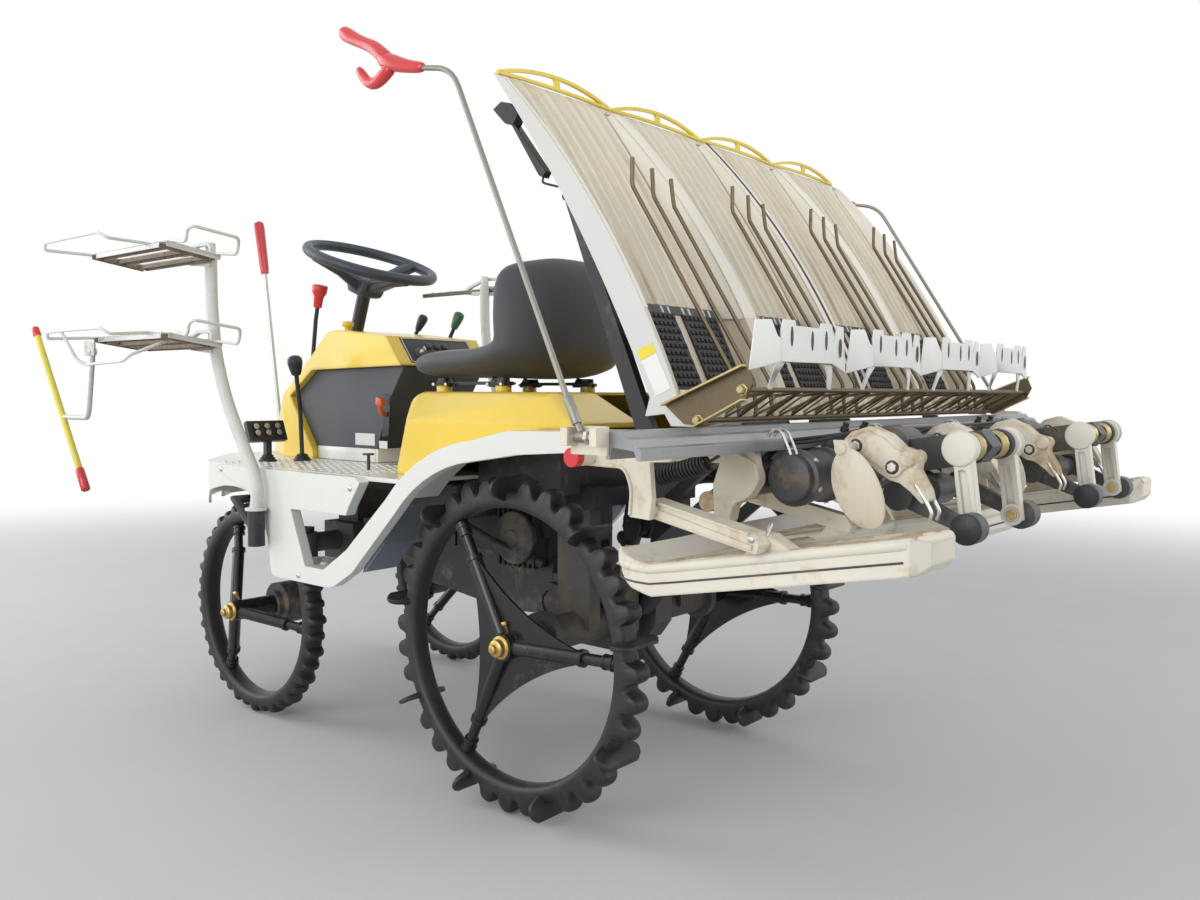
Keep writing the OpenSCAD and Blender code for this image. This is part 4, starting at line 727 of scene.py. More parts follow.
def seat_sections():
    """Loops across the seat, from the front of the pan to the top of the back"""
    crown = bpy.context.scene.transplanter_sizes.seat_crown
    # x and z of the middle, half width, half thickness, how far the sides come forward, how far they rise,
    # and how much thicker the corner under the back is
    line = ((515, 917, 150, 12, 0, 0), (513, 917, 186, 22, 0, 1), (503, 919, 202, 28, 0, 3),
            (480, 921, 210, 30, 0, 5), (420, 923, 215, 31, 0, 7), (340, 921, 215, 31, 0, 12),
            (262, 916, 214, 31, 4, 24, 2), (200, 922, 214, 29, 22, 36, 9), (152, 950, 212, 27, 62, 22, 30),
            (128, 1000, 210, 25, 92, 8, 9), (124, 1060, 206, 24, 100, 0), (138, 1112, 196, 22, 92, -4),
            (152, 1146, 178, 19, 78, -10), (161, 1164, 148, 12, 68, -15), (164, 1170, 118, 5, 62, -17))
    loops = []
    for i, (x, z, half, thick, ahead, rise, *corner) in enumerate(line):
        a, b = line[max(i - 1, 1)], line[min(i + 1, len(line) - 1)]
        way = Vector((b[0] - a[0], b[1] - a[1])).normalized() if i else Vector((-1, 0))
        out = Vector((way.y, -way.x))
        loop = []
        for t in circle(28, 0.5):
            u = math.copysign(abs(math.cos(t)) ** 0.42, math.cos(t))
            v = math.copysign(abs(math.sin(t)) ** 0.62, math.sin(t))
            depth = v * thick + (crown * (1 - u * u) * 0.55 if v > 0 else v * sum(corner))
            bend = abs(u) ** 2.4
            loop.append(place(x + out.x * depth + ahead * bend, u * half, z + out.y * depth + rise * bend))
        loops.append(loop)
    return loops


class TRANSPLANTER_OT_seat(bpy.types.Operator):
    """Makes the padded one-piece seat and the brackets under it"""

    bl_idname = "transplanter.seat"
    bl_label = "Seat"

    def execute(self, context):
        mesh = tidy_mesh("padded_seat", lambda bm: loft(bm, seat_sections()), subdivisions=1)
        seat = finished("padded_seat", mesh, "seat_vinyl", "root", 60)
        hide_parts("seat")

        def brackets(bm):
            for x0, x1 in ((225, 300), (415, 490)):
                slab(bm, [[x0, 868], [x1, 868], [x1 - 12, 888], [x0 + 10, 890]], 146, 151)
                slab(bm, [[x0 + 6, 872], [x1 - 10, 872], [x1 - 10, 877], [x0 + 6, 877]], 132, 166)
                wire(bm, ((x0 + 8, 148, 876), (x1 - 16, 148, 889)), 5, 8)
            slab(bm, [[230, 874], [470, 874], [470, 879], [230, 879]], 128, 133)
            mirrored(bm)

        piece("seat_brackets", brackets, "black_steel", "root", "black_steel", 35, 0.0008, 1)
        spots = [(place(x, s * 166, 874.5), Vector((0, s, 0)), AHEAD) for x in (240, 285, 430, 475)
                 for s in (1, -1)]
        repeated("seat_bracket_bolts", "hexagon", spots, "bolt_steel", "root", 5.0)
        return {"FINISHED"}


class TRANSPLANTER_OT_console(bpy.types.Operator):
    """Makes the instrument panel, the slots, the base strip and the blank plates of the console"""

    bl_idname = "transplanter.console"
    bl_label = "Console"

    def execute(self, context):
        low, high = Vector((614, 925)), Vector((672, 1000))
        way = (high - low).normalized()
        out = Vector((-way.y, way.x))

        def on_panel(along, y, lift):
            p = low + way * along + out * lift
            return place(p.x, y, p.y)

        def plate(bm, a0, a1, y0, y1, lift0, lift1):
            loft(bm, [[on_panel(a, y, lift) for a, y in ((a0, y0), (a1, y0), (a1, y1), (a0, y1))]
                      for lift in (lift0, lift1)])

        piece("instrument_panel", lambda bm: plate(bm, 6, 90, -118, 118, -2, 2),
              "knob_plastic", "root", "knob_plastic", 35, 0.003)

        def border(bm):
            for a0, a1, y0, y1 in ((8, 10, -115, 115), (86, 88, -115, 115), (8, 88, -115, -113),
                                   (8, 88, 113, 115)):
                plate(bm, a0, a1, y0, y1, 1.8, 2.8)

        piece("instrument_border", border, "blank_plate", "root", "white_plastic")

        def dials(bm):
            face = Vector((out.x, 0, out.y))
            for along, y, r in ((36, 78, 17), (62, 34, 10), (62, 6, 10), (62, -22, 10), (36, -70, 19)):
                turned(bm, on_panel(along, y, 2), face, ((0, r), (4, r), (6, r - 3), (6.5, r * 0.5)), 20)

        piece("instrument_dials", dials, "steering_plastic", "root", "knob_plastic", 35, 0.0006, 1)
        spots = [(on_panel(36 + 8 * (k % 2), -40 + 12 * k, 2), Vector((out.x, 0, out.y)), LEFT)
                 for k in range(7)]
        repeated("instrument_lamps", "dome", spots, "red_plastic", "root", 3.2, rise=3)

        def key(bm):
            turned(bm, on_panel(34, 78, 8), Vector((out.x, 0, out.y)), ((0, 6), (10, 6), (11, 4)), 16)
            plate(bm, 28, 40, 76, 80, 16, 30)

        piece("starting_key", key, "bolt_steel", "root", "plated_pole", 35, 0.001, 1)
        # slot with the orange handle on the console's left side, and a low orange lever behind it
        outline = [[684, 740], [712, 736], [704, 850], [676, 846]]
        piece("handle_slot", lambda bm: slab(bm, outline, 138, 141.2), "black_steel", "root", "black_steel",
              35, 0.001, 1)

        def handle(bm):
            wire(bm, ((695, 139, 795), (692, 160, 800), (690, 166, 826)), 6)
            slab(bm, [[676, 818], [704, 822], [700, 842], [680, 838]], 156, 170)
            wire(bm, ((640, 110, 720), (600, 150, 742), (545, 168, 760)), 8)
            turned(bm, place(545, 168, 760), (-1, 0.15, 0.3), ((0, 8), (12, 11), (30, 12), (38, 8), (40, 2)),
                   16)

        piece("orange_levers", handle, "orange_plastic", "root", "red_plastic", 35, 0.0015)

        def base(bm):
            for s in (1, -1):
                slab(bm, [[736, 668], [994, 668], [994, 704], [736, 704]], s * 141, s * 144)
            block(bm, (726, -144, 668), (735, 144, 704))

        piece("console_base_strip", base, "white_plastic", "root", "white_plastic", 35, 0.0015)

        def blanks(bm):
            slab(bm, [[742, 712], [826, 712], [826, 744], [742, 744]], 140.2, 141.4)
            slab(bm, [[690, 706], [724, 706], [724, 726], [690, 726]], 140.2, 141.4)

        piece("blank_plates", blanks, "blank_plate", "root", "white_plastic")

        # raised cap and the small knob on top of the yellow hood
        def cap(bm):
            turned(bm, place(905, 105, 1018), (0, 0, 1), ((0, 8), (14, 8), (16, 15), (26, 17), (30, 12),
                                                          (31, 2)), 18)

        piece("hood_knob", cap, "yellow_plastic", "root", "yellow_plastic", 35, 0.001)
        return {"FINISHED"}


def knob_profile(r, length):
    return ((0, 0.55 * r), (2, 0.62 * r), (length * 0.55, 0.86 * r), (length, r),
            (length + 0.55 * r, 0.93 * r), (length + 0.85 * r, 0.62 * r), (length + 0.98 * r, 0.2 * r))


class TRANSPLANTER_OT_levers(bpy.types.Operator):
    """Makes the coloured knobs, the boots under the levers and the pierced pedal"""

    bl_idname = "transplanter.levers"
    bl_label = "Levers and knobs"

    def execute(self, context):
        knobs = (("knob_red", "red_plastic", (1052, 100, 1100), (1062, 100, 1060), 40, 17),
                 ("knob_left", "knob_plastic", (936, 250, 905), (957, 225, 804), 34, 20),
                 ("knob_right", "knob_plastic", (1024, -245, 1050), (1058, -225, 970), 38, 15),
                 ("knob_green", "green_plastic", (864, -250, 1050), (884, -240, 1000), 38, 16))
        for name, finish, top, below, length, r in knobs:
            axis = Vector(top) - Vector(below)
            start = place(*(Vector(top) - axis.normalized() * 6))
            profile = knob_profile(r, length)
            if name == "knob_red":
                profile = ((0, 11), (3, 12), (30, 14), (44, 21), (60, 22), (64, 20), (66, 6))
            knob = piece(name, lambda bm: turned(bm, start, axis, profile), finish, "root",
                         "red_plastic" if finish == "red_plastic" else "knob_plastic", 50, 0.0008, 1)
            if name == "knob_left":
                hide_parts("lever_knobs")

        def boots(bm):
            for x, y, z in ((1088, 100, 872), (957, 220, 668), (998, 300, 668)):
                turned(bm, place(x, y, z), (0, 0, 1),
                       ((0, 24), (3, 24), (5, 19), (9, 20), (11, 15), (15, 16), (18, 10)), 20)

        piece("lever_boots", boots, "tyre_rubber", "root", "tyre_rubber", 35, 0.0008, 1)
        normal = Vector((-0.948, 0, 0.316)).normalized()
        spots = [(place(x - 2, y, z) + normal * 0.0035, normal, LEFT)
                 for x, z in ((995, 744), (1003, 761)) for y in (268, 300, 332)]
        repeated("pedal_holes", "disc", spots, "bolt_steel", "root", 8, rise=0.6)
        return {"FINISHED"}


class TRANSPLANTER_OT_deck(bpy.types.Operator):
    """Makes the marks of the deck, the studs of the steps, bolts, dark flaps and the engine bay's fillings"""

    bl_idname = "transplanter.deck"
    bl_label = "Deck and steps"

    def execute(self, context):
        spots = []
        for s in (1, -1):
            for row in range(8):
                y = 178 + row * 30
                for k in range(18):
                    x = 470 + k * 34 + (17 if row % 2 else 0)
                    # the marks leave out the cut front corner and the two boots
                    boots = any(abs(x - a) < 34 and abs(y - b) < 30 for a, b in ((957, 220), (998, 300)))
                    if x < 1150 - 0.6 * max(0, y - 300) and not boots:
                        spots.append((place(x, s * y, DECK_TOP), UP, AHEAD))
        for row in range(11):
            y = -150 + row * 30
            for k in range(8):
                x = 1190 + k * 26 + (13 if row % 2 else 0)
                if x < 1372 - 0.5 * max(0, abs(y) - 90) and (x > 1335 or abs(y) > 120):
                    spots.append((place(x, y, DECK_TOP), UP, AHEAD))
        repeated("deck_marks", "bar", spots, "white_plastic", "root", 2.4, 8.5, 2.0)
        spots = [(place(x, s * y, STEP_TOP), UP, AHEAD) for s in (1, -1) for x in (572, 610, 648, 686)
                 for y in (360, 394)]
        repeated("step_studs", "dome", spots, "white_plastic", "root", 10, rise=5.5)
        spots = [(place(x, s * 446, z), Vector((0, s, 0)), AHEAD) for s in (1, -1)
                 for x, z in ((436, 640), (980, 655), (640, 420))]
        spots += [(place(1150, s * 140, DECK_TOP), UP, AHEAD) for s in (1, -1)]
        repeated("body_bolts", "dome", spots, "bolt_steel", "root", context.scene.transplanter_sizes.bolt,
                 rise=3.5)

        def flaps(bm):
            # dark inner flaps between the fender and the engine, and the mud guards behind the steps
            slab(bm, [[430, 448], [418, 452], [352, 520], [342, 600], [352, 600], [362, 524], [424, 462]],
                 330, 418)
            slab(bm, [[-60, 770], [-268, 776], [-268, 772], [-60, 766]], 300, 418)
            mirrored(bm)

        piece("inner_flaps", flaps, "grey_plastic", "root", "charcoal_plastic", 35, 0.001, 1)

        def fillers(bm):
            # tank, battery box, hoses and the belt cover that fill the bay under the hood
            block(bm, (-20, -250, 640), (230, 250, 760))
            block(bm, (310, -240, 560), (470, 240, 640))
            wire(bm, ((460, 110, 620), (400, 190, 560), (250, 170, 500), (150, 120, 460)), 12)
            wire(bm, ((460, -110, 620), (380, -190, 540), (220, -170, 520), (130, -90, 470)), 12)
            wire(bm, ((60, 100, 560), (120, 160, 600), (260, 190, 610)), 8)
            turned(bm, place(210, 144, 520), (0, 1, 0), ((0, 62), (14, 62), (16, 58), (17, 20), (22, 18)), 32)

        piece("under_hood_fillings", fillers, "dark_casting", "root", "dark_casting", 35, 0.004)
        return {"FINISHED"}


class TRANSPLANTER_OT_racks(bpy.types.Operator):
    """Makes the racks with their wire loops, the guide rods with their holders, and the pole's tip"""

    bl_idname = "transplanter.racks"
    bl_label = "Racks and rods"

    def execute(self, context):
        lean = math.radians(8.3)

        def on(z, x, w, h):
            """A point of a shelf: w out from its inner edge and h above its underside"""
            return place(x, SHELF_Y + w * math.cos(lean) - h * math.sin(lean),
                         z + w * math.sin(lean) + h * math.cos(lean))

        def bar(bm, z, x0, x1, w0, w1):
            # a folded channel, open below
            if x1 - x0 > w1 - w0:
                lips = ((x0, x1, w0, w0 + 2), (x0, x1, w1 - 2, w1))
            else:
                lips = ((x0, x0 + 2, w0, w1), (x1 - 2, x1, w0, w1))
            for u0, u1, v0, v1, h0, h1 in [(x0, x1, w0, w1, 8, 10)] + [(*lip, -4, 8) for lip in lips]:
                loft(bm, [[on(z, u, v, h) for u, v in ((u0, v0), (u1, v0), (u1, v1), (u0, v1))]
                          for h in (h0, h1)])

        def frames(bm):
            line = ((776, 567), (767, 622), (786, 665), (838, 736), (904, 834), (950, 950),
                    (964, 1060), (966, 1120), (966, 1196))
            wire(bm, [(x, POST_Y, z) for x, z in line], 15, 20, steps=5)
            turned(bm, place(966, POST_Y, 1190), (0, 0, 1), ((0, 15), (6, 15), (7, 12), (35, 12), (36, 11)),
                   24)
            turned(bm, place(776, POST_Y, 566.3), (0, 0, 1), ((0, 25), (1, 26), (6, 26), (7, 25)), 24)
            for z in SHELVES:
                bar(bm, z, 893, 933, 0, 138)
                bar(bm, z, 1262, 1290, 0, 138)
                for w in (0, 59, 116):
                    bar(bm, z, 933, 1262, w, w + 22)
                # the bent bar over the shelf, and the plate that grips the post
                slab(bm, [[918, z - 2], [918, z + 30], [928, z + 42], [988, z + 44], [1060, z + 22],
                          [1078, z + 10], [1068, z + 8], [1054, z + 14], [986, z + 35], [934, z + 34],
                          [927, z + 27], [927, z - 2]],
                     SHELF_Y, SHELF_Y + 13)
                slab(bm, [[940, z - 16], [1040, z - 6], [1040, z + 2], [940, z + 2]], 484, 490)
                block(bm, (940, 484, z - 4), (1000, 500, z + 2))
            mirrored(bm)

        made = piece("rack_frames", frames, "rack_paint", "root", "white_steel", 35, 0.0007, 1)
        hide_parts("racks")

        def loops(bm):
            for z, lift in zip(SHELVES, (-6, 0)):
                tube(bm, rounded([on(z, 1282, 96, 5), on(z, 1298, 132, 9), place(1282, 741, z + 26 + lift),
                                  place(1272, 744, z + 42 + lift), place(1130, 744, z + 43 + lift),
                                  place(978, 744, z + 42 + lift), place(954, 734, z + 28 + lift),
                                  on(z, 1000, 134, 13), on(z, 1000, 100, 12)]), 4, 8)
                tube(bm, rounded([on(z, 960, 132, 13), on(z, 900, 132, 13), place(820, 615, z + 20),
                                  place(808, 617, z + 48), place(790, 612, z + 54), place(790, 500, z + 40),
                                  place(806, 489, z + 30), place(816, 489, z + 4), on(z, 900, 6, 12),
                                  on(z, 960, 6, 12)]), 4, 8)
            wire(bm, ((1196, 742, 1000), (1172, 716, 930), (1150, 704, 919), (960, 702, 925), (946, 690, 940),
                      (946, 604, 975)), 4, 8)
            mirrored(bm)

        piece("rack_wire_loops", loops, "white_steel", "root", "white_steel", 50)
        spots = [(on(z, x, 30, 10), UP, AHEAD) for z in SHELVES for x in (913, 1276)]
        spots += [(Vector((p.x, -p.y, p.z)), up, way) for p, up, way in spots]
        repeated("rack_bolts", "hexagon", spots, "bolt_steel", "root", 5.0)

        def holders(bm):
            # the bent tube that carries each guide rod from the lower shelf
            wire(bm, ((1118, GUIDE_Y, 968), (1122, GUIDE_Y, 930), (1148, GUIDE_Y, 806), (1160, GUIDE_Y, 787),
                      (1292, GUIDE_Y, 787)), 6, 12)
            slab(bm, [[1096, 940], [1140, 940], [1150, 978], [1090, 974]], 706, 709)
            turned(bm, place(1119, 694, 950), (0, 1, 0), ((0, 9), (10, 9), (16, 9), (17, 7)), 16)
            mirrored(bm)

        piece("guide_rod_holders", holders, "holder_steel", "root", "white_steel", 50)

        def guides(bm):
            wire(bm, ((1462, GUIDE_Y, 1021), (1177, GUIDE_Y, 606)), 8, 16)
            mirrored(bm)

        made = piece("guide_rod_tubes", guides, "yellow_rod", "root", "yellow_rod", 50)
        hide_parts("guide_rods")

        def sleeves(bm):
            d = Vector((1177 - 1462, 0, 606 - 1021)).normalized()
            for s in (1, -1):
                turned(bm, place(1177, s * GUIDE_Y, 606) - d * 0.062, d,
                       ((0, 10), (2, 11), (60, 11), (62, 9)), 16)
                turned(bm, place(1462, s * GUIDE_Y, 1021) + d * 0.002, d,
                       ((0, 9), (2, 10), (24, 10), (26, 9)), 16)

        piece("guide_rod_ends", sleeves, "red_plastic", "root", "red_plastic", 50)

        def tip(bm):
            foot, head = Vector((1484.5, 1246)), Vector((1513, 1395))
            way = (head - foot).normalized()
            out = Vector((way.y, -way.x))

            def section(along, half):
                corners = ((-half, -3), (-9, -9), (9, -9), (half, -3), (half, 3), (9, 9), (-9, 9), (-half, 3))
                return [place(foot.x + way.x * along + out.x * d, w, foot.y + way.y * along + out.y * d)
                        for w, d in corners]

            loft(bm, [section(*s) for s in ((-18, 9), (-8, 13), (4, 15), (134, 17.5), (146, 16), (150, 11))])

        piece("pole_tip", tip, "red_plastic", "root", "red_plastic", 30, 0.0008, 1)
        return {"FINISHED"}


class TRANSPLANTER_OT_markers(bpy.types.Operator):
    """Makes the line markers: a bent rod with a red three-pronged fork on each side"""

    bl_idname = "transplanter.markers"
    bl_label = "Line markers"

    def execute(self, context):
        for side, s in (("left", 1), ("right", -1)):
            def p(x, y, z):
                return place(x, s * y, z)

            def rod(bm):
                tube(bm, rounded([p(-575, 820, 800), p(-560, 820, 826), p(-248, 750, 1351),
                                  p(-163, 750, 1368)], 5),
                     4.2, 12)
                turned(bm, p(-586, 820, 800), (1, 0, 0), ((0, 7.5), (1, 8), (21, 8), (22, 7.5)), 18)
                turned(bm, p(-566, 820, 816), (312, -70 * s, 525), ((0, 6), (1, 6.5), (40, 6.5), (41, 6)), 14)

            made = piece("marker_rod_" + side, rod, "marker_steel", "marker_" + side, "marker_steel", 50)
            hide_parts("marker_" + side)

            def fork(bm):
                def limb(xz, radii):
                    line = [p(x, 750, z) for x, z in xz]
                    loops = []
                    for i, (q, r) in enumerate(zip(line, radii)):
                        d = (line[min(i + 1, len(line) - 1)] - line[max(i - 1, 0)]).normalized()
                        a = LEFT
                        b = d.cross(a).normalized()
                        loops.append([q + (a * math.cos(t) * 0.85 + b * math.sin(t)) * r / 1000
                                      for t in circle(16)])
                    loft(bm, loops)

                limb([(-184, 1365), (-178, 1366), (-150, 1372), (-120, 1382), (-92, 1392), (-72, 1402)],
                     [5, 9, 10, 13, 15, 11])
                limb([(-104, 1388), (-80, 1404), (-60, 1421), (-40, 1430), (-12, 1443),
                      (10, 1455), (24, 1463), (31, 1467)],
                     [12, 13, 12, 10.5, 11, 13, 12.5, 6])
                limb([(-108, 1384), (-88, 1374), (-70, 1364), (-52, 1362), (-36, 1372), (-22, 1388),
                      (-14, 1397)],
                     [11, 12, 11, 10, 9.5, 9, 5])

            piece("marker_fork_" + side, fork, "red_plastic", "marker_" + side, "red_plastic", 60,
                  subdivisions=1)
        return {"FINISHED"}


def moulded_ring(bm, x, y, z, outer, depth, half, lugs, height):
    """A rubber ring with rounded lugs on it, each lug (angle, half its length, share of the height)"""
    loops = []
    stations = circle(540)
    middle = outer - depth / 2
    for a in stations + stations[:1]:
        lift = 0
        for at, reach, share in lugs:
            u = abs((a - at + math.pi) % (2 * math.pi) - math.pi) * (outer + height / 2) / reach
            if u < 1:
                lift = max(lift, share * height * (1 - u ** 2.4) ** 0.55)
        loop = []
        for t in circle(20, 0.5):
            c, q = math.cos(t), math.sin(t)
            lug = lift * min(1, max(0, (c - 0.2) / 0.24))
            r = middle + math.copysign(abs(c) ** 0.72, c) * depth / 2 + lug
            across = math.copysign(abs(q) ** 0.72, q) * half * (1 - 0.10 * max(0, c) * (lift > 0))
            loop.append(place(x + math.cos(a) * r, y + across, z + math.sin(a) * r))
        loops.append(loop)
    loft(bm, loops, caps=False)


def paddles(bm, x, y, z, angles, ring, tip, half):
    """Wide thin plates that stand across a ring, thinner and rounder towards their tips"""
    # radius and share of the half width along a plate's edge
    edge = ((ring - 24, 0.26), (ring - 16, 0.66), (ring - 9, 0.92), (ring, 1.0), (ring + 8, 1.0),
            (ring + 17, 0.93), (tip - 5, 0.8), (tip, 0.66))
    for a in angles:
        out, along = Vector((math.cos(a), 0, math.sin(a))), Vector((-math.sin(a), 0, math.cos(a)))
        loops = []
        for side, share in ((-1, 0.955), (-0.72, 1.0), (0.72, 1.0), (1, 0.955)):
            loop = []
            for s in (1, -1):
                for r, w in (edge if s > 0 else reversed(edge)):
                    w *= share
                    reach = max(0, (r - ring) / (tip - ring))
                    thick = 6.0 - 2.6 * reach - 2.0 * max(0, w - 0.6)
                    lean = 5 * reach ** 2
                    p = out * r + along * (side * thick + lean)
                    loop.append(place(x + p.x, y + s * w * half, z + p.z))
            loops.append(loop)
        loft(bm, loops)


class TRANSPLANTER_OT_wheels(bpy.types.Operator):
    """Makes the tyres' rubber with its lugs and paddles, the hub nuts and the collars of the spokes"""

    bl_idname = "transplanter.wheels"
    bl_label = "Wheels"

    def execute(self, context):
        rear_lugs = [(math.radians(-70 - 10 * k), 20, 0.92 if k % 2 else 1.0) for k in range(36) if k % 4]
        front_lugs = [(math.radians(-90 - 9 * k), 11, 0.7 if k % 2 else 1.0) for k in range(40)]
        self.make_pair("rear", (0, 346), 405, (374, 316, 24), rear_lugs, 29, ((58, 178, 298), 278, 14))
        self.make_pair("front", (978, 282), 425, (346, 266, 26), front_lugs, 16, ((67, 187, 307), 228, 62))
        return {"FINISHED"}

    def make_pair(self, end, middle, hub_y, rubber, lugs, lug_height, spokes):
        """One axle's wheels: rubber is its y, radius and half width, spokes their angles, reach and rise"""
        (x, z), (ring_y, ring, half), (angles, inner, rise) = middle, rubber, spokes
        for side, s in (("left", 1), ("right", -1)):
            body = f"{end}_wheel_{side}"
            finish = "tyre_rubber" if side == "left" else "tyre_muddy"

            def tyre(bm):
                moulded_ring(bm, x, s * ring_y, z, ring, 38, half, lugs, lug_height)

            made = piece(f"{end}_ring_{side}", tyre, finish, body, "tyre_rubber", 50)
            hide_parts(f"{end}_tyre_{side}")
            if end == "rear":
                turns = [math.radians(-70 - 40 * k) for k in range(9)]
                piece(f"rear_paddles_{side}", lambda bm: paddles(bm, x, s * ring_y, z, turns, ring, 344, 60),
                      finish, body, "tyre_rubber", 40)

            def nut(bm):
                turned(bm, place(x, s * hub_y, z), (0, s, 0),
                       ((-2, 24), (3, 24), (4, 20), (4.5, 18), (16, 18), (18, 14), (18.5, 9), (26, 9),
                        (27, 7)), 24)
                turned(bm, place(x, s * (hub_y - 20), z + 26), (0.3, s * 0.2, 1),
                       ((0, 6), (16, 6), (17, 8), (24, 8), (25, 5)), 6)

            piece(f"{end}_hub_nut_{side}", nut, "brass", body, "plated_rod", 35, 0.0008, 1)

            def collars(bm):
                for t in map(math.radians, angles):
                    # a spoke leans from the hub's plane out to the ring
                    foot = Vector((math.cos(t) * inner, 0, math.sin(t) * inner))
                    for share, r, length in ((0.70, 17.5, 12), (0.90, 15.5, 8), (0.965, 16.5, 9)):
                        q = Vector((foot.x * share, rise * (1 - share), foot.z * share))
                        edge = length / 2
                        turned(bm, place(x + q.x, s * (ring_y + q.y), z + q.z), (foot.x, -s * rise, foot.z),
                               ((-edge, r - 2), (1 - edge, r), (edge - 1, r), (edge, r - 2)), 20)

            piece(f"{end}_spoke_collars_{side}", collars, "wheel_black", body, "wheel_black")


def floor_face(z, out=0.0, y=0.0):
    """The tray's floor at a height, moved out of it towards the rear"""
    away = math.sqrt(FLOOR_ARC ** 2 - (z - FLOOR_Z) ** 2)
    return place(FLOOR_X - away - out * away / FLOOR_ARC, y, z + out * (z - FLOOR_Z) / FLOOR_ARC)


def wall_face(z, out=0.0, y=0.0):
    """The rear edge of the tray's walls and ridges at a height"""
    away = math.sqrt(WALL_ARC ** 2 - (z - WALL_Z) ** 2)
    return place(WALL_X - away - out * away / WALL_ARC, y, z + out * (z - WALL_Z) / WALL_ARC)


def outward(z):
    """The way the tray's floor faces at a height"""
    return (floor_face(z, 1) - floor_face(z, 0)).normalized()


def steps(low, high, count):
    return [low + (high - low) * k / count for k in range(count + 1)]


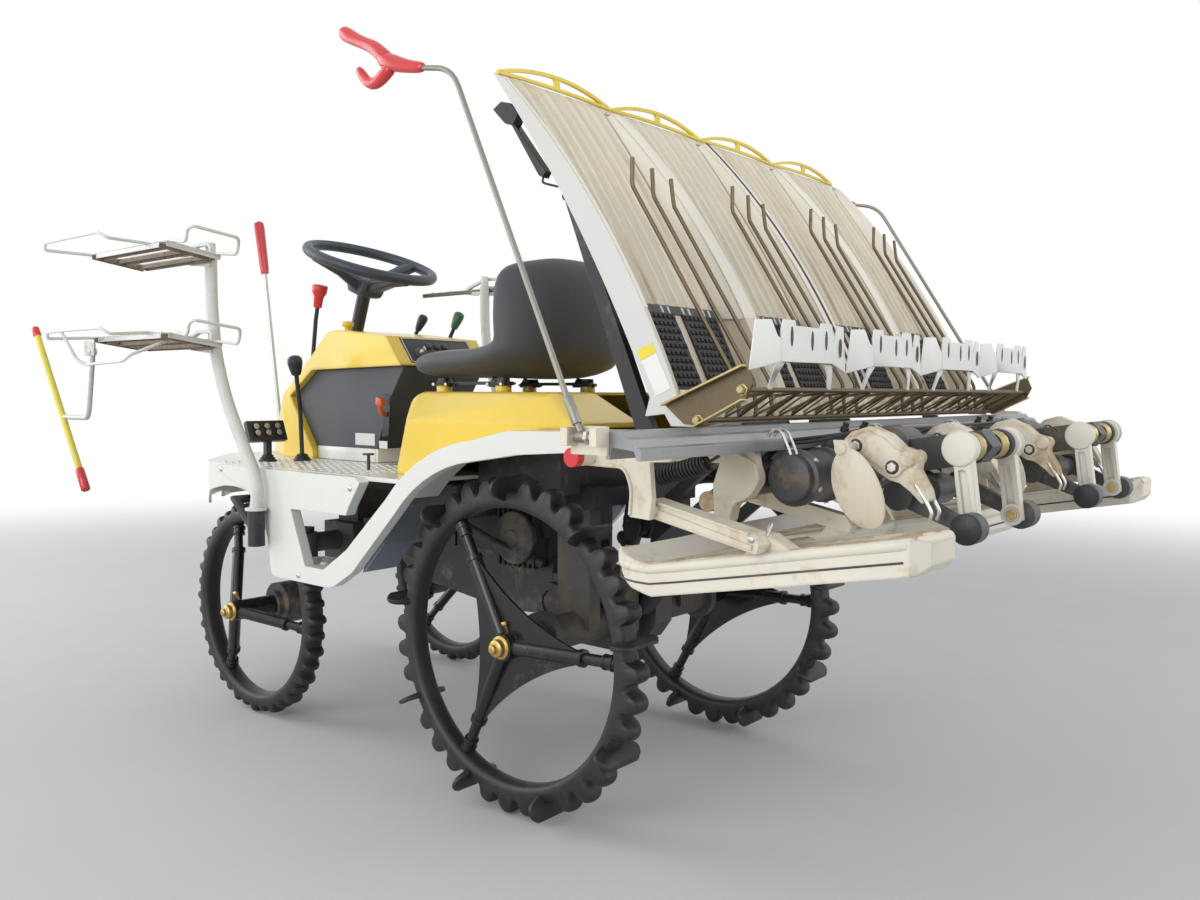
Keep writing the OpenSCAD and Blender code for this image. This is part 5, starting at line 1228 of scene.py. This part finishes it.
class TRANSPLANTER_OT_tray(bpy.types.Operator):
    """Makes the tray's ribs, ridges, belt studs, press rods, crescents, row covers, catch and foot wires"""

    bl_idname = "transplanter.tray"
    bl_label = "Seedling tray"

    def execute(self, context):
        body = "seedling_tray"
        count = context.scene.transplanter_sizes.tray_ribs

        def rib(bm):
            stations = [(1000, 0.5), (1006, 4)] + [(z, 4) for z in steps(1040, 1370, 10)] + [(1386, 0.5)]
            loft(bm, [[floor_face(z, out, y) for y, out in ((-7, -1), (-3.5, h), (3.5, h), (7, -1))]
                      for z, h in stations])

        pitch = 232 / count
        spots = [(Vector((0, (row - 116 + pitch * (k + 0.5)) / 1000, 0)), UP, AHEAD) for row in ROWS
                 for k in range(count)]
        repeated("tray_ribs", rib, spots, "tray_plastic", body, 1, rise=1, smooth=40)

        def ridges(bm):
            heights = steps(985, 1380, 12)
            for y in (-300, 0, 300):
                loft(bm, [[floor_face(z, 0, y - 33)] +
                          [wall_face(z, out, y + w) for w, out in ((-25, -9), (-19, 0.7),
                                                                   (19, 0.7), (25, -9))] +
                          [floor_face(z, 0, y + 33)] for z in heights])
            for s in (1, -1):
                loft(bm, [[floor_face(z, 0, s * 574)] +
                          [wall_face(z, out, s * y) for y, out in ((586, -12), (592, 0.6), (603.4, 0.6))] +
                          [floor_face(z, 0, s * 602)] for z in heights])

        piece("tray_ridges", ridges, "tray_wall", body, "tray_plastic", 40, 0.003, 2, angle=25)

        def seam(bm):
            loft(bm, [[wall_face(z, 0.4, y) for y in (-4, 4)] + [wall_face(z, 1.6, y) for y in (4, -4)]
                      for z in steps(850, 1384, 14)])

        piece("tray_seam", seam, "belt_rubber", body, "belt_rubber", 40)
        spots = []
        for row in ROWS:
            for s in (1, -1):
                for k in range(11):
                    z = 858 + k * 12
                    first, number = (25, 7) if k % 2 else (19, 8)
                    spots += [(floor_face(z, 3.6, row + s * (first + 12.2 * i)), outward(z), AHEAD)
                              for i in range(number)]
        repeated("belt_studs", "bar", spots, "belt_rubber", body, 3.6, 3.6, 3.2, 30)

        def strips(bm):
            for row in ROWS:
                loft(bm, [[floor_face(z, out, row + y) for y, out in ((-114, 0.5), (-114, 2.5),
                                                                      (114, 2.5), (114, 0.5))]
                          for z in (984, 990, 998)])

        piece("belt_strips", strips, "dark_casting", body, "rail_aluminium")
        spots = [(floor_face(991, 2.4, row + y), outward(991), AHEAD) for row in ROWS
                 for y in (-98, -80, -38, -20, 20, 38, 80, 98)]
        repeated("strip_slots", "bar", spots, "white_plastic", body, 3.2, 7, 0.6)

        def wires(bm):
            for k in range(29):
                y = -580 + k * 40
                foot, bend = place(-612, y, 822), place(-683, y + (20 if k % 2 else -20), 860)
                tube(bm, [foot, bend], 2.2, 6)
                tube(bm, [bend, place(-640, y + 20, 852), place(-606, y + 30, 826)], 1.8, 6)

        piece("foot_wires", wires, "plated_rod", body, "plated_rod", 50)

        def ends(bm):
            for s in (1, -1):
                slab(bm, [[-553, 838], [-690, 894], [-690, 897.5], [-553, 841.5]], s * 607, s * 621)
                slab(bm, [[-612, 812], [-690, 850], [-691, 847.5], [-612, 809]], s * 607, s * 621)
                for x, z in FOOT_BARS:
                    turned(bm, place(x, s * 607.5, z), (0, s, 0), ((0, 9), (2, 9), (2.2, 6.5),
                                                                   (9, 6.5), (10, 5)), 6)

        piece("tray_end_plates", ends, "gold_plate", body, "plated_rod")

        def upper(bm):
            # black catch under the tray's top left corner, with its strap and wire hook
            slab(bm, [[-192, 1345], [-173, 1335], [-202, 1307], [-222, 1302], [-232, 1318], [-216, 1338]],
                 572, 592)
            slab(bm, [[-202, 1318], [-218, 1306], [-290, 1217], [-283, 1208], [-274, 1213]], 570, 586)
            wire(bm, ((-280, 578, 1215), (-275, 578, 1203), (-284, 578, 1199), (-311, 578, 1191)), 2.2, 8)

        piece("tray_catches", upper, "black_steel", body, "black_steel", 35, 0.0012, 1)

        def rods(bm):
            for row in ROWS:
                for y, lower in ((49, 0), (0, 10), (-49, 20)):
                    line = ((-402 - lower * 0.3, 1239 - lower), (-402 - lower * 0.6, 1199 - lower),
                            (-404 - lower * 0.6, 1191 - lower), (-603, 880), (-606, 873), (-612, 818))
                    tube(bm, [place(x, row + y, z) for x, z in line], 3.6, 8)
            for x, z in FOOT_BARS:
                wire(bm, ((x, -605, z), (x, 605, z)), 4, 12)
            for s in (1, -1):
                slab(bm, [[-553, 838], [-690, 894], [-700, 870], [-690, 850], [-612, 812], [-586, 812]],
                     s * 604.3, s * 608)

        made = piece("press_rod_rows", rods, "plated_rod", body, "plated_rod", 40)
        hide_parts("press_rods")

        def crescents(bm):
            # a low strip along the tray's top edge and a bowed one over it, joined at the ends and by a strut
            back = FLOOR_X - math.sqrt(FLOOR_ARC ** 2 - (1390 - FLOOR_Z) ** 2)
            x0, x1 = back - 2, back + 5

            def strip(rise, low, thick, half):
                side = [(half * k / 12, rise * (1 - (k / 12) ** 2) + low) for k in range(-12, 13)]
                return [(y, h + thick) for y, h in side] + [(y, h) for y, h in reversed(side)]

            for row in ROWS:
                for inset, outline in ((0, strip(4, 1390.3, 5, 147)), (0.5, strip(23, 1390.8, 6, 146.3))):
                    a, b = x0 + inset, x1 - inset
                    loft(bm, [[place(x, row + y, z) for x, (y, z) in ((a, top), (b, top),
                                                                      (b, foot), (a, foot))]
                              for top, foot in list(zip(outline, reversed(outline)))[:len(outline) // 2]])
                loft(bm, [[place(x, row + y, z) for x, y in ((x0 + 1, -w), (x1 - 1, -w), (x1 - 1, w),
                                                             (x0 + 1, w))]
                          for z, w in ((1396, 13), (1400, 7), (1410, 6), (1416, 12))])

        made = piece("tray_crescents", crescents, "guard_yellow", body, "guard_yellow", 40)
        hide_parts("tray_guards")

        def covers(bm):
            for row in ROWS:
                def sheet(corners, thick=3):
                    # corners are (y, z, how far back of the front face), and the sheet lies behind them
                    loft(bm, [[place(-700 + back + d, row + y, z) for y, z, back in corners]
                              for d in (0, thick)])

                sheet([(-78, 903, 0), (78, 903, 0), (80, 948, 0), (74, 964, 0), (40, 964, 0), (37, 956, 0),
                       (-37, 956, 0), (-40, 964, 0), (-74, 964, 0), (-80, 948, 0)])
                # the left leaf folds back, and the right one hardly
                for s, fold in ((1, 1), (-1, 0.15)):
                    sheet([(s * 78, 903, 0), (s * 129, 890, 22 * fold), (s * 119, 962, 19 * fold),
                           (s * 95, 963, 7 * fold), (s * 86, 940, 2 * fold), (s * 79, 936, 0.5 * fold)])
                    # legs down to the bar
                    for legs in (((72, 905, 13), (84, 884, 7)), ((84, 884, 7), (92, 861, 6))):
                        loft(bm, [[place(-697 + (905 - z) * 0.2 + d, row + s * (y + w), z)
                                   for w, d in ((-g, 0), (g, 0), (g, 3), (-g, 3))] for y, z, g in legs])

        made = piece("row_cover_plates", covers, "cover_plastic", body, "cover_plastic", 30, 0.0012, 2)
        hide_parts("row_covers")
        # dark discs on the covers where their slots are: painted shade seen through the openings
        spots = [(place(-699.9, row + y, z), -AHEAD, UP) for row in ROWS
                 for y, z in ((-104, 928), (-56, 938), (-12, 936), (50, 940))]
        repeated("cover_slots", "disc", spots, "dark_casting", body, 4.2, 15, 0.5)

        def plates(bm, z0, z1):
            # a blank sign that leans with the wall's rear edge
            for s in (1, -1):
                a, b, c, d = ([place(x + 0.54 * (z - 925), s * y, z + 0.42 * w)
                               for x, w in ((-493, 0), (-521, 28))]
                              for y in (603.6, 604.5) for z in (z0, z1))
                loft(bm, [a + b[::-1], c + d[::-1]])

        piece("blank_sign", lambda bm: plates(bm, 852, 905), "cover_plastic", body, "white_plastic")
        piece("blank_sign_band", lambda bm: plates(bm, 905.5, 920), "guard_yellow", body, "guard_yellow")
        return {"FINISHED"}


class TRANSPLANTER_OT_planting(bpy.types.Operator):
    """Makes the planting arms with their guards and tines, drive housings, springs, collars and cables"""

    bl_idname = "transplanter.planting"
    bl_label = "Planting unit"

    def execute(self, context):
        body = "planting_unit"

        side = [[-766, 778], [-768, 792], [-779, 803], [-806, 811], [-833, 800], [-853, 783],
                [-866, 779], [-877, 766], [-875, 752], [-891, 724], [-894, 711], [-885, 706], [-868, 722],
                [-852, 733], [-838, 736], [-822, 745], [-801, 763], [-782, 768]]

        def arms(bm):
            for row in ROWS:
                slab(bm, side, row - 15, row + 15)
                middle = [[-812 + (x + 812) * 0.84, 770 + (z - 770) * 0.84]
                          for x, z in side[:9]] + [[-850, 746], [-828, 752], [-800, 768]]
                slab(bm, middle, row - 18.5, row + 18.5)
                for x, z, r, reach in ((-789, 783, 15, 20.5), (-844, 755, 14.5, 20.5), (-866, 768, 11, 24),
                                       (-884, 720, 7, 16.5)):
                    turned(bm, place(x, row - reach, z), (0, 1, 0),
                           ((0, r - 2), (1.5, r), (2 * reach - 1.5, r), (2 * reach, r - 2)), 24)

        made = piece("planting_arm_castings", arms, "arm_casting", body, "arm_casting", 42, 0.0035,
                     3, angle=28)
        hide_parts("planting_arms")

        def leaves(bm):
            lean = math.radians(-26)
            for row in ROWS:
                out = (1 if row > 0 else -1) * (1 if abs(row) > 300 else -1)
                ring = []
                for t in circle(28):
                    a, b = (40 if math.cos(t) > 0 else 29) * math.cos(t), 60 * math.sin(t)
                    ring.append((a * math.cos(lean) - b * math.sin(lean),
                                 a * math.sin(lean) + b * math.cos(lean)))
                base = row + out * 51
                loft(bm, [[place(-812 + x * k, base + out * d, max(726 + z * k, 667)) for x, z in ring]
                          for k, d in ((1, -0.8), (1.0, 2.2), (0.94, 3.4), (0.72, 5.6),
                                       (0.4, 7.4), (0.1, 8))])
                slab(bm, [[-770, 792], [-792, 792], [-806, 760], [-796, 744], [-780, 752]],
                     base, base + out * 3)
                turned(bm, place(-782, row + out * 12, 780), (0, out, 0), ((0, 9), (44, 9), (45, 7)), 20)

        piece("guard_leaves", leaves, "leaf_casting", body, "arm_casting", 50)

        def on_arms(y):
            return [(place(x, row + s * y, z), Vector((0, s, 0)), AHEAD) for row in ROWS for s in (1, -1)
                    for x, z in ARM_PINS]

        repeated("arm_bolts", "hexagon", on_arms(20.3), "bolt_steel", body, 7.5, rise=5)
        repeated("arm_bolt_washers", "disc", on_arms(20.4), "engine_metal", body, 10, rise=1.6, smooth=30)

        def tips(bm):
            for row in ROWS:
                for y in (row - 14, row + 14):
                    wire(bm, ((-876, y, 732), (-890, y, 712), (-900, y, 694), (-896, y, 682)), 3, 8)
                turned(bm, place(-884, row - 15, 722), (0, 1, 0), ((0, 5), (30, 5)), 6)

        piece("planting_tines", tips, "bolt_steel", body, "rail_aluminium", 40)

        def springs(bm):
            for s in (1, -1):
                for a, b in ((237, 266), (334, 364)):
                    ends = (place(SHAFT_X, s * y, SHAFT_Z) for y in (a, b))
                    tube(bm, coil(*ends, 19.5, 5), 2.3, 6)

        piece("shaft_springs", springs, "gold_plate", body, "plated_rod", 60)

        def collars(bm):
            for s in (1, -1):
                for a, b in ((219, 234), (366, 381)):
                    turned(bm, place(SHAFT_X, min(s * a, s * b), SHAFT_Z), (0, 1, 0),
                           ((0, 21), (1, 23), (b - a - 1, 23), (b - a, 21)), 28)
                for y0, y1 in ((425, 432), (168, 173)):
                    low = min(s * y0, s * y1)
                    turned(bm, place(-934, low, 671), (0, 1, 0),
                           ((0, 19.5), (1.5, 21.8), (y1 - y0 - 1.5, 21.8), (y1 - y0, 19.5)), 28)

        piece("shaft_collars", collars, "tyre_rubber", body, "belt_rubber")

        def rockers(bm):
            for s in (1, -1):
                for face, way in ((382, -1), (218, 1)):
                    turned(bm, place(-928, s * face, 673), (0, s * way, 0),
                           ((-1, 17), (3, 17), (3.6, 15), (3.8, 12), (1.5, 11.5), (1.4, 1)), 28)
                for face, way in ((400, 1), (200, -1)):
                    turned(bm, place(-912, s * face, 781), (0, s * way, 0),
                           ((-1, 26), (1.5, 26), (4, 24.5), (5, 21), (5.2, 1)), 32)

        piece("rocker_rings", rockers, "white_casting", body, "white_casting")
        spots = [(place(-928, s * y, 673), Vector((0, s * way, 0)), AHEAD) for s in (1, -1)
                 for y, way in ((380.5, -1), (219.5, 1))]
        repeated("rocker_nuts", "hexagon", spots, "brass", body, 8.5, rise=5)

        def housings(bm):
            for s in (1, -1):
                for start, length, big in ((488, 142, 43), (258, 128, 37)):
                    turned(bm, place(HOUSING_X, s * start, HOUSING_Z), (0, -s, 0), (
                        (0, 26), (2, big - 8), (14, big - 7), (16, big), (30, big), (32, big - 4),
                        (length - 44, big - 4), (length - 42, big), (length - 28, big),
                        (length - 26, big - 7), (length - 2, big - 8), (length, 26)), 36)
                wire(bm, ((-655, s * 300, 742), (-700, s * 300, 770), (-782, s * 300, 780)), 30, 24, steps=8)
                turned(bm, place(-782, s * 266, 780), (0, s, 0),
                       ((0, 18), (2, 25), (24, 26), (44, 26), (66, 25), (68, 18)), 28)
                turned(bm, place(-836, s * 199, 712), (0, s, 0),
                       ((0, 15), (66, 15), (68, 24), (134, 24), (136, 15), (202, 15)), 24)
                wire(bm, ((-712, s * 300, 752), (-780, s * 300, 742), (-836, s * 300, 712)), 21, 20, steps=8)
                for y in (150, 60):
                    turned(bm, place(-625, s * y, 728), (0, s, 0), ((0, 30), (10, 31), (12, 28)), 28)
                for y in (276, 324):
                    slab(bm, [[-668, 742], [-700, 792], [-706, 792], [-676, 738]], s * y - 3, s * y + 3)

        piece("drive_housings", housings, "drive_casting", body, "drive_casting")
        spots = []
        for s in (1, -1):
            for y in (465, 381, 235, 157):
                r = 41.5 if y > 300 else 35.5
                for t in (math.radians(60 * k + 20) for k in range(6)):
                    spots.append((place(HOUSING_X + r * math.cos(t), s * y, HOUSING_Z + r * math.sin(t)),
                                  Vector((math.cos(t), 0, math.sin(t))), LEFT))
        repeated("housing_bolts", "hexagon", spots, "bolt_steel", body, 4.5, rise=4)

        def ribs(bm):
            for s in (1, -1):
                for y in (509, 491):
                    wire(bm, [(x, s * y, z) for x, z in ((-606, 769), (-642, 756), (-653, 728), (-636, 702),
                                                         (-608, 691), (-602, 664))], 3.2, 8)
                wire(bm, [(x, s * 663, z) for x, z in ((-444, 751), (-520, 749), (-534, 718), (-530, 680))],
                     2.6, 8)
                slab(bm, [[-560, 690], [-566, 676], [-722, 645], [-724, 652]], s * 640, s * 643)
                slab(bm, [[-548, 700], [-552, 703], [-720, 669], [-718, 666]], s * 640, s * 644)

        piece("bracket_ribs", ribs, "cream_steel", body, "cream_steel", 45)

        def cables(bm):
            for s in (1, -1):
                for y, lift in ((470, 0), (448, 6), (140, 0), (118, 5)):
                    wire(bm, ((-628, s * y, 752), (-650, s * (y - 20), 778 + lift),
                              (-705, s * (y - 60), 786 + lift), (-748, s * (y - 92), 800),
                              (-776, s * 312 if y > 300 else s * 288, 803)), 2.8, 8)
                for y in (330, 262):
                    turned(bm, place(-700, s * y, 796), (-0.3, 0, 1), ((0, 7), (8, 7), (9, 5), (16, 5)), 12)

        piece("drive_cables", cables, "knob_plastic", body, "knob_plastic", 50)

        def hangers(bm):
            # a spring with its hooks beside each float arm
            for s in (1, -1):
                tube(bm, coil(place(-534, s * 600, 731), place(-622, s * 600, 757), 12.5, 15), 2.4, 6)
                tube(bm, [place(-534, s * 600, 731), place(-512, s * 606, 716), place(-505, s * 612, 706)],
                     2.4, 8)
                wire(bm, ((-622, s * 600, 757), (-640, s * 596, 768)), 2.4, 8)

        piece("float_springs", hangers, "engine_metal", body, "plated_rod", 60)

        def clips(bm):
            for y in (500, 176, -176, -500):
                for k in (-9, 9):
                    wire(bm, ((-668, y + k, 794), (-676, y + k, 806), (-690, y + k, 802), (-702, y + k, 778),
                              (-706, y + k, 768)), 2.2, 8)
                turned(bm, place(-677, y - 14, 803), (0, 1, 0), ((0, 3.5), (28, 3.5)), 10)
            for s in (1, -1):
                wire(bm, ((-724, s * 602, 668), (-730, s * 602, 682), (-738, s * 614, 680),
                          (-736, s * 622, 664)),
                     2.0, 8)
                turned(bm, place(-722, s * 598, 660), (0, s, 0), ((0, 5), (44, 5), (45, 4)), 12)
                turned(bm, place(-586, s * 820, 800), (1, 0, 0), ((-2, 10), (3, 10), (3.2, 7)), 6)

        piece("float_clips", clips, "bolt_steel", body, "rail_aluminium", 50)
        return {"FINISHED"}


class TRANSPLANTER_OT_floats(bpy.types.Operator):
    """Makes the decks, rolled rims, seams, tail hooks and pin bosses of the floats"""

    bl_idname = "transplanter.floats"
    bl_label = "Floats"

    def execute(self, context):
        # x of the noses, the side floats' tail and the place where all narrow, and the noses' corner radius
        side_nose, centre_nose, tail_x, neck_x, corner = -431, -300, -954, -648, 90

        def underside(x):
            return 553 - (534 + x) * 0.1945

        def top(x, nose):
            """Height of a float's top: it follows the underside, and steps up and falls at the nose"""
            plain = underside(x) + 46
            if x < nose - 104:
                return plain
            crest = underside(nose - 100) + 62
            if x < nose - 20:
                return plain + (crest - underside(nose - 104) - 46) * (x - nose + 104) / 84
            return crest - (x - nose + 20) * 0.5

        def nose_turn(x, y, out):
            """Quarter of a circle around a nose's corner, from its front to its side"""
            r = corner + out
            return [(x - corner + r * math.cos(t), y + r * math.sin(t)) for t in steps(0, math.pi / 2, 8)]

        def side_edge(out):
            y0, y1, tail_y = 330, 616, 500
            line = [(tail_x + 7, tail_y + 24), (tail_x + 7, y1 - 24), (tail_x + 30, y1 + out)]
            line += [(x, y1 + out) for x in steps(tail_x + 60, side_nose - 100, 8)]
            line += reversed(nose_turn(side_nose, y1 - corner, out))
            line += [(x, y0 + corner - y) for x, y in nose_turn(side_nose, 0, out)]
            line += [(x, y0 - out) for x in steps(side_nose - 120, -646, 3)]
            return line + [(-690, tail_y - out), (tail_x + 28, tail_y - out), (tail_x + 7, tail_y + 24)]

        def centre_edge(out):
            half = nose_turn(centre_nose, 130, out) + [(x, 220 + out) for x in steps(-400, -646, 5)]
            half += [(-690, 108 + out), (-818, 108 + out), (-842 - out, 84)]
            return half + [(x, -y) for x, y in reversed(half)] + half[:1]

        def edges(bm, drop, out, radius, sides):
            """A bar around each float, drop below its top and out beyond its side"""
            for s, nose, line in ((1, side_nose, side_edge(out)), (-1, side_nose, side_edge(out)),
                                  (1, centre_nose, centre_edge(out))):
                tube(bm, [place(x, s * y, top(x, nose) - drop) for x, y in line], radius, sides)

        def bosses(bm):
            # round bosses on the inner brackets' feet, in which the float arms' pins end
            for s in (1, -1):
                turned(bm, place(-560, s * 488.5, 689), (0, s, 0), ((0, 14), (1.5, 16), (18, 16), (19, 15)),
                       24)

        piece("float_pin_bosses", bosses, "arm_casting", "planting_unit", "arm_casting", 40)

        def decks(bm):
            def strip(nose, low, high, stations):
                loops = []
                for x in stations:
                    into = max(0, x - nose + corner)
                    cut = corner - math.sqrt(corner ** 2 - into ** 2)
                    y0, y1, z = low(x) + cut, high(x) - cut, top(x, nose)
                    loops.append([place(x, y0 + (y1 - y0) * u, z + 0.8 + 3.5 * abs(2 * u - 1) ** 6)
                                  for u in steps(0, 1, 10)] + [place(x, y1, z - 3), place(x, y0, z - 3)])
                loft(bm, loops)

            def neck(x, wide, change):
                """A width that changes where a float narrows towards its tail"""
                return wide + change * min(1, max(0, neck_x - x) / 42)

            strip(side_nose, lambda x: neck(x, 338, 170), lambda x: 608,
                  [-448, -462, -480, -500, -521, -560, -600, -646, -668, -690, -740, -800, -860, -938])
            mirrored(bm)
            strip(centre_nose, lambda x: -neck(x, 212, -112), lambda x: neck(x, 212, -112),
                  [-317, -331, -350, -370, -390, -450, -520, -600, -646, -668, -690, -740, -826])

        piece("float_decks", decks, "float_dirty", "planting_unit", "float_plastic", 40)

        def rims(bm):
            edges(bm, 5, -3, 8, 10)
            for s in (1, -1):
                wire(bm, ((-930, s * 566, 678), (-946, s * 566, 682), (-952, s * 566, 672),
                          (-951, s * 566, 660)),
                     2.5, 8)

        piece("float_rims", rims, "float_plastic", "planting_unit", "float_plastic", 50)

        def seams(bm):
            edges(bm, 27, 0.2, 1.6, 6)

        piece("float_seams", seams, "dark_casting", "planting_unit", "dark_casting", 50)
        return {"FINISHED"}


class TRANSPLANTER_OT_steering(bpy.types.Operator):
    """Makes the broad spokes, the square hub and the grips of the steering wheel"""

    bl_idname = "transplanter.steering"
    bl_label = "Steering wheel"

    def execute(self, context):
        lean = math.radians(20)
        out, ahead = Vector((-math.sin(lean), 0, math.cos(lean))), Vector((math.cos(lean), 0, math.sin(lean)))
        middle = place(937, 0, 1222)

        def p(x, y, z):
            return middle + (ahead * x + Vector((0, y, 0)) + out * z) / 1000

        def wheel(bm):
            def spoke(turn, ends):
                side = Vector((-math.sin(turn), math.cos(turn)))
                way = Vector((math.cos(turn), math.sin(turn)))

                def section(along, half, low, high):
                    corners = ((-half, low + 3), (-half + 4, low), (half - 4, low), (half, low + 3),
                               (half, high - 4), (half - 6, high), (6 - half, high), (-half, high - 4))
                    return [p(way.x * along + side.x * w, way.y * along + side.y * w, z) for w, z in corners]

                loft(bm, [section(*e) for e in ends])

            for turn in (math.radians(80), math.radians(-80), math.radians(180)):
                spoke(turn, ((14, 24, -88, -50), (34, 23, -84, -48), (70, 19, -62, -34), (115, 18, -36, -14),
                             (150, 21, -18, 1), (174, 26, -10, 7)))
            hub = ((34, 40), (-34, 40), (-44, 30), (-44, -30), (-34, -40), (34, -40), (40, -30), (40, 30))
            loft(bm, [[p(x * k, y * k, z) for x, y in hub]
                      for k, z in ((0.72, -96), (0.92, -90), (1.0, -76), (1.0, -56), (0.86, -46),
                                   (0.6, -44))])
            # thicker grip of the rim, with a soft ridge on its underside
            grip = [(a, 15.2 - 0.8 * (k % 2)) for k, a in enumerate(circle(14))]

            def ring(t):
                reach = [(176 + r * math.cos(a), r * math.sin(a) * 1.02) for a, r in grip]
                return [p(math.cos(t) * x, math.sin(t) * x, z) for x, z in reach]

            loft(bm, [ring(t) for t in steps(0, 2 * math.pi, 72)], caps=False)

        piece("steering_grip", wheel, "steering_plastic", "steering_wheel", "steering_plastic", 50, 0.002, 2)
        return {"FINISHED"}


OPERATORS = (TRANSPLANTER_OT_finishes, TRANSPLANTER_OT_stage, TRANSPLANTER_OT_seat, TRANSPLANTER_OT_console,
             TRANSPLANTER_OT_levers, TRANSPLANTER_OT_deck, TRANSPLANTER_OT_racks, TRANSPLANTER_OT_markers,
             TRANSPLANTER_OT_wheels, TRANSPLANTER_OT_steering, TRANSPLANTER_OT_tray, TRANSPLANTER_OT_planting,
             TRANSPLANTER_OT_floats)
ORDER = [c.bl_idname.partition(".")[2] for c in OPERATORS]


class TRANSPLANTER_PT_panel(bpy.types.Panel):
    """Lists the pieces, so that each can be made again after a size or colour changes"""

    bl_idname = "TRANSPLANTER_PT_panel"
    bl_label = "Rice transplanter"
    bl_space_type = "VIEW_3D"
    bl_region_type = "UI"
    bl_category = "Transplanter"

    def draw(self, context):
        for settings in (context.scene.transplanter_colours, context.scene.transplanter_sizes):
            for name in settings.bl_rna.properties.keys():
                if name not in ("rna_type", "name"):
                    self.layout.prop(settings, name)
        for name in ORDER:
            self.layout.operator("transplanter." + name)


CLASSES = (TransplanterColours, TransplanterSizes, *OPERATORS, TRANSPLANTER_PT_panel)


def register():
    for c in CLASSES:
        bpy.utils.register_class(c)
    bpy.types.Scene.transplanter_colours = PointerProperty(type=TransplanterColours)
    bpy.types.Scene.transplanter_sizes = PointerProperty(type=TransplanterSizes)


def unregister():
    del bpy.types.Scene.transplanter_sizes
    del bpy.types.Scene.transplanter_colours
    for c in reversed(CLASSES):
        bpy.utils.unregister_class(c)


def main():
    register()
    for name in ORDER:
        getattr(bpy.ops.transplanter, name)()


if __name__ == "__main__":
    main()
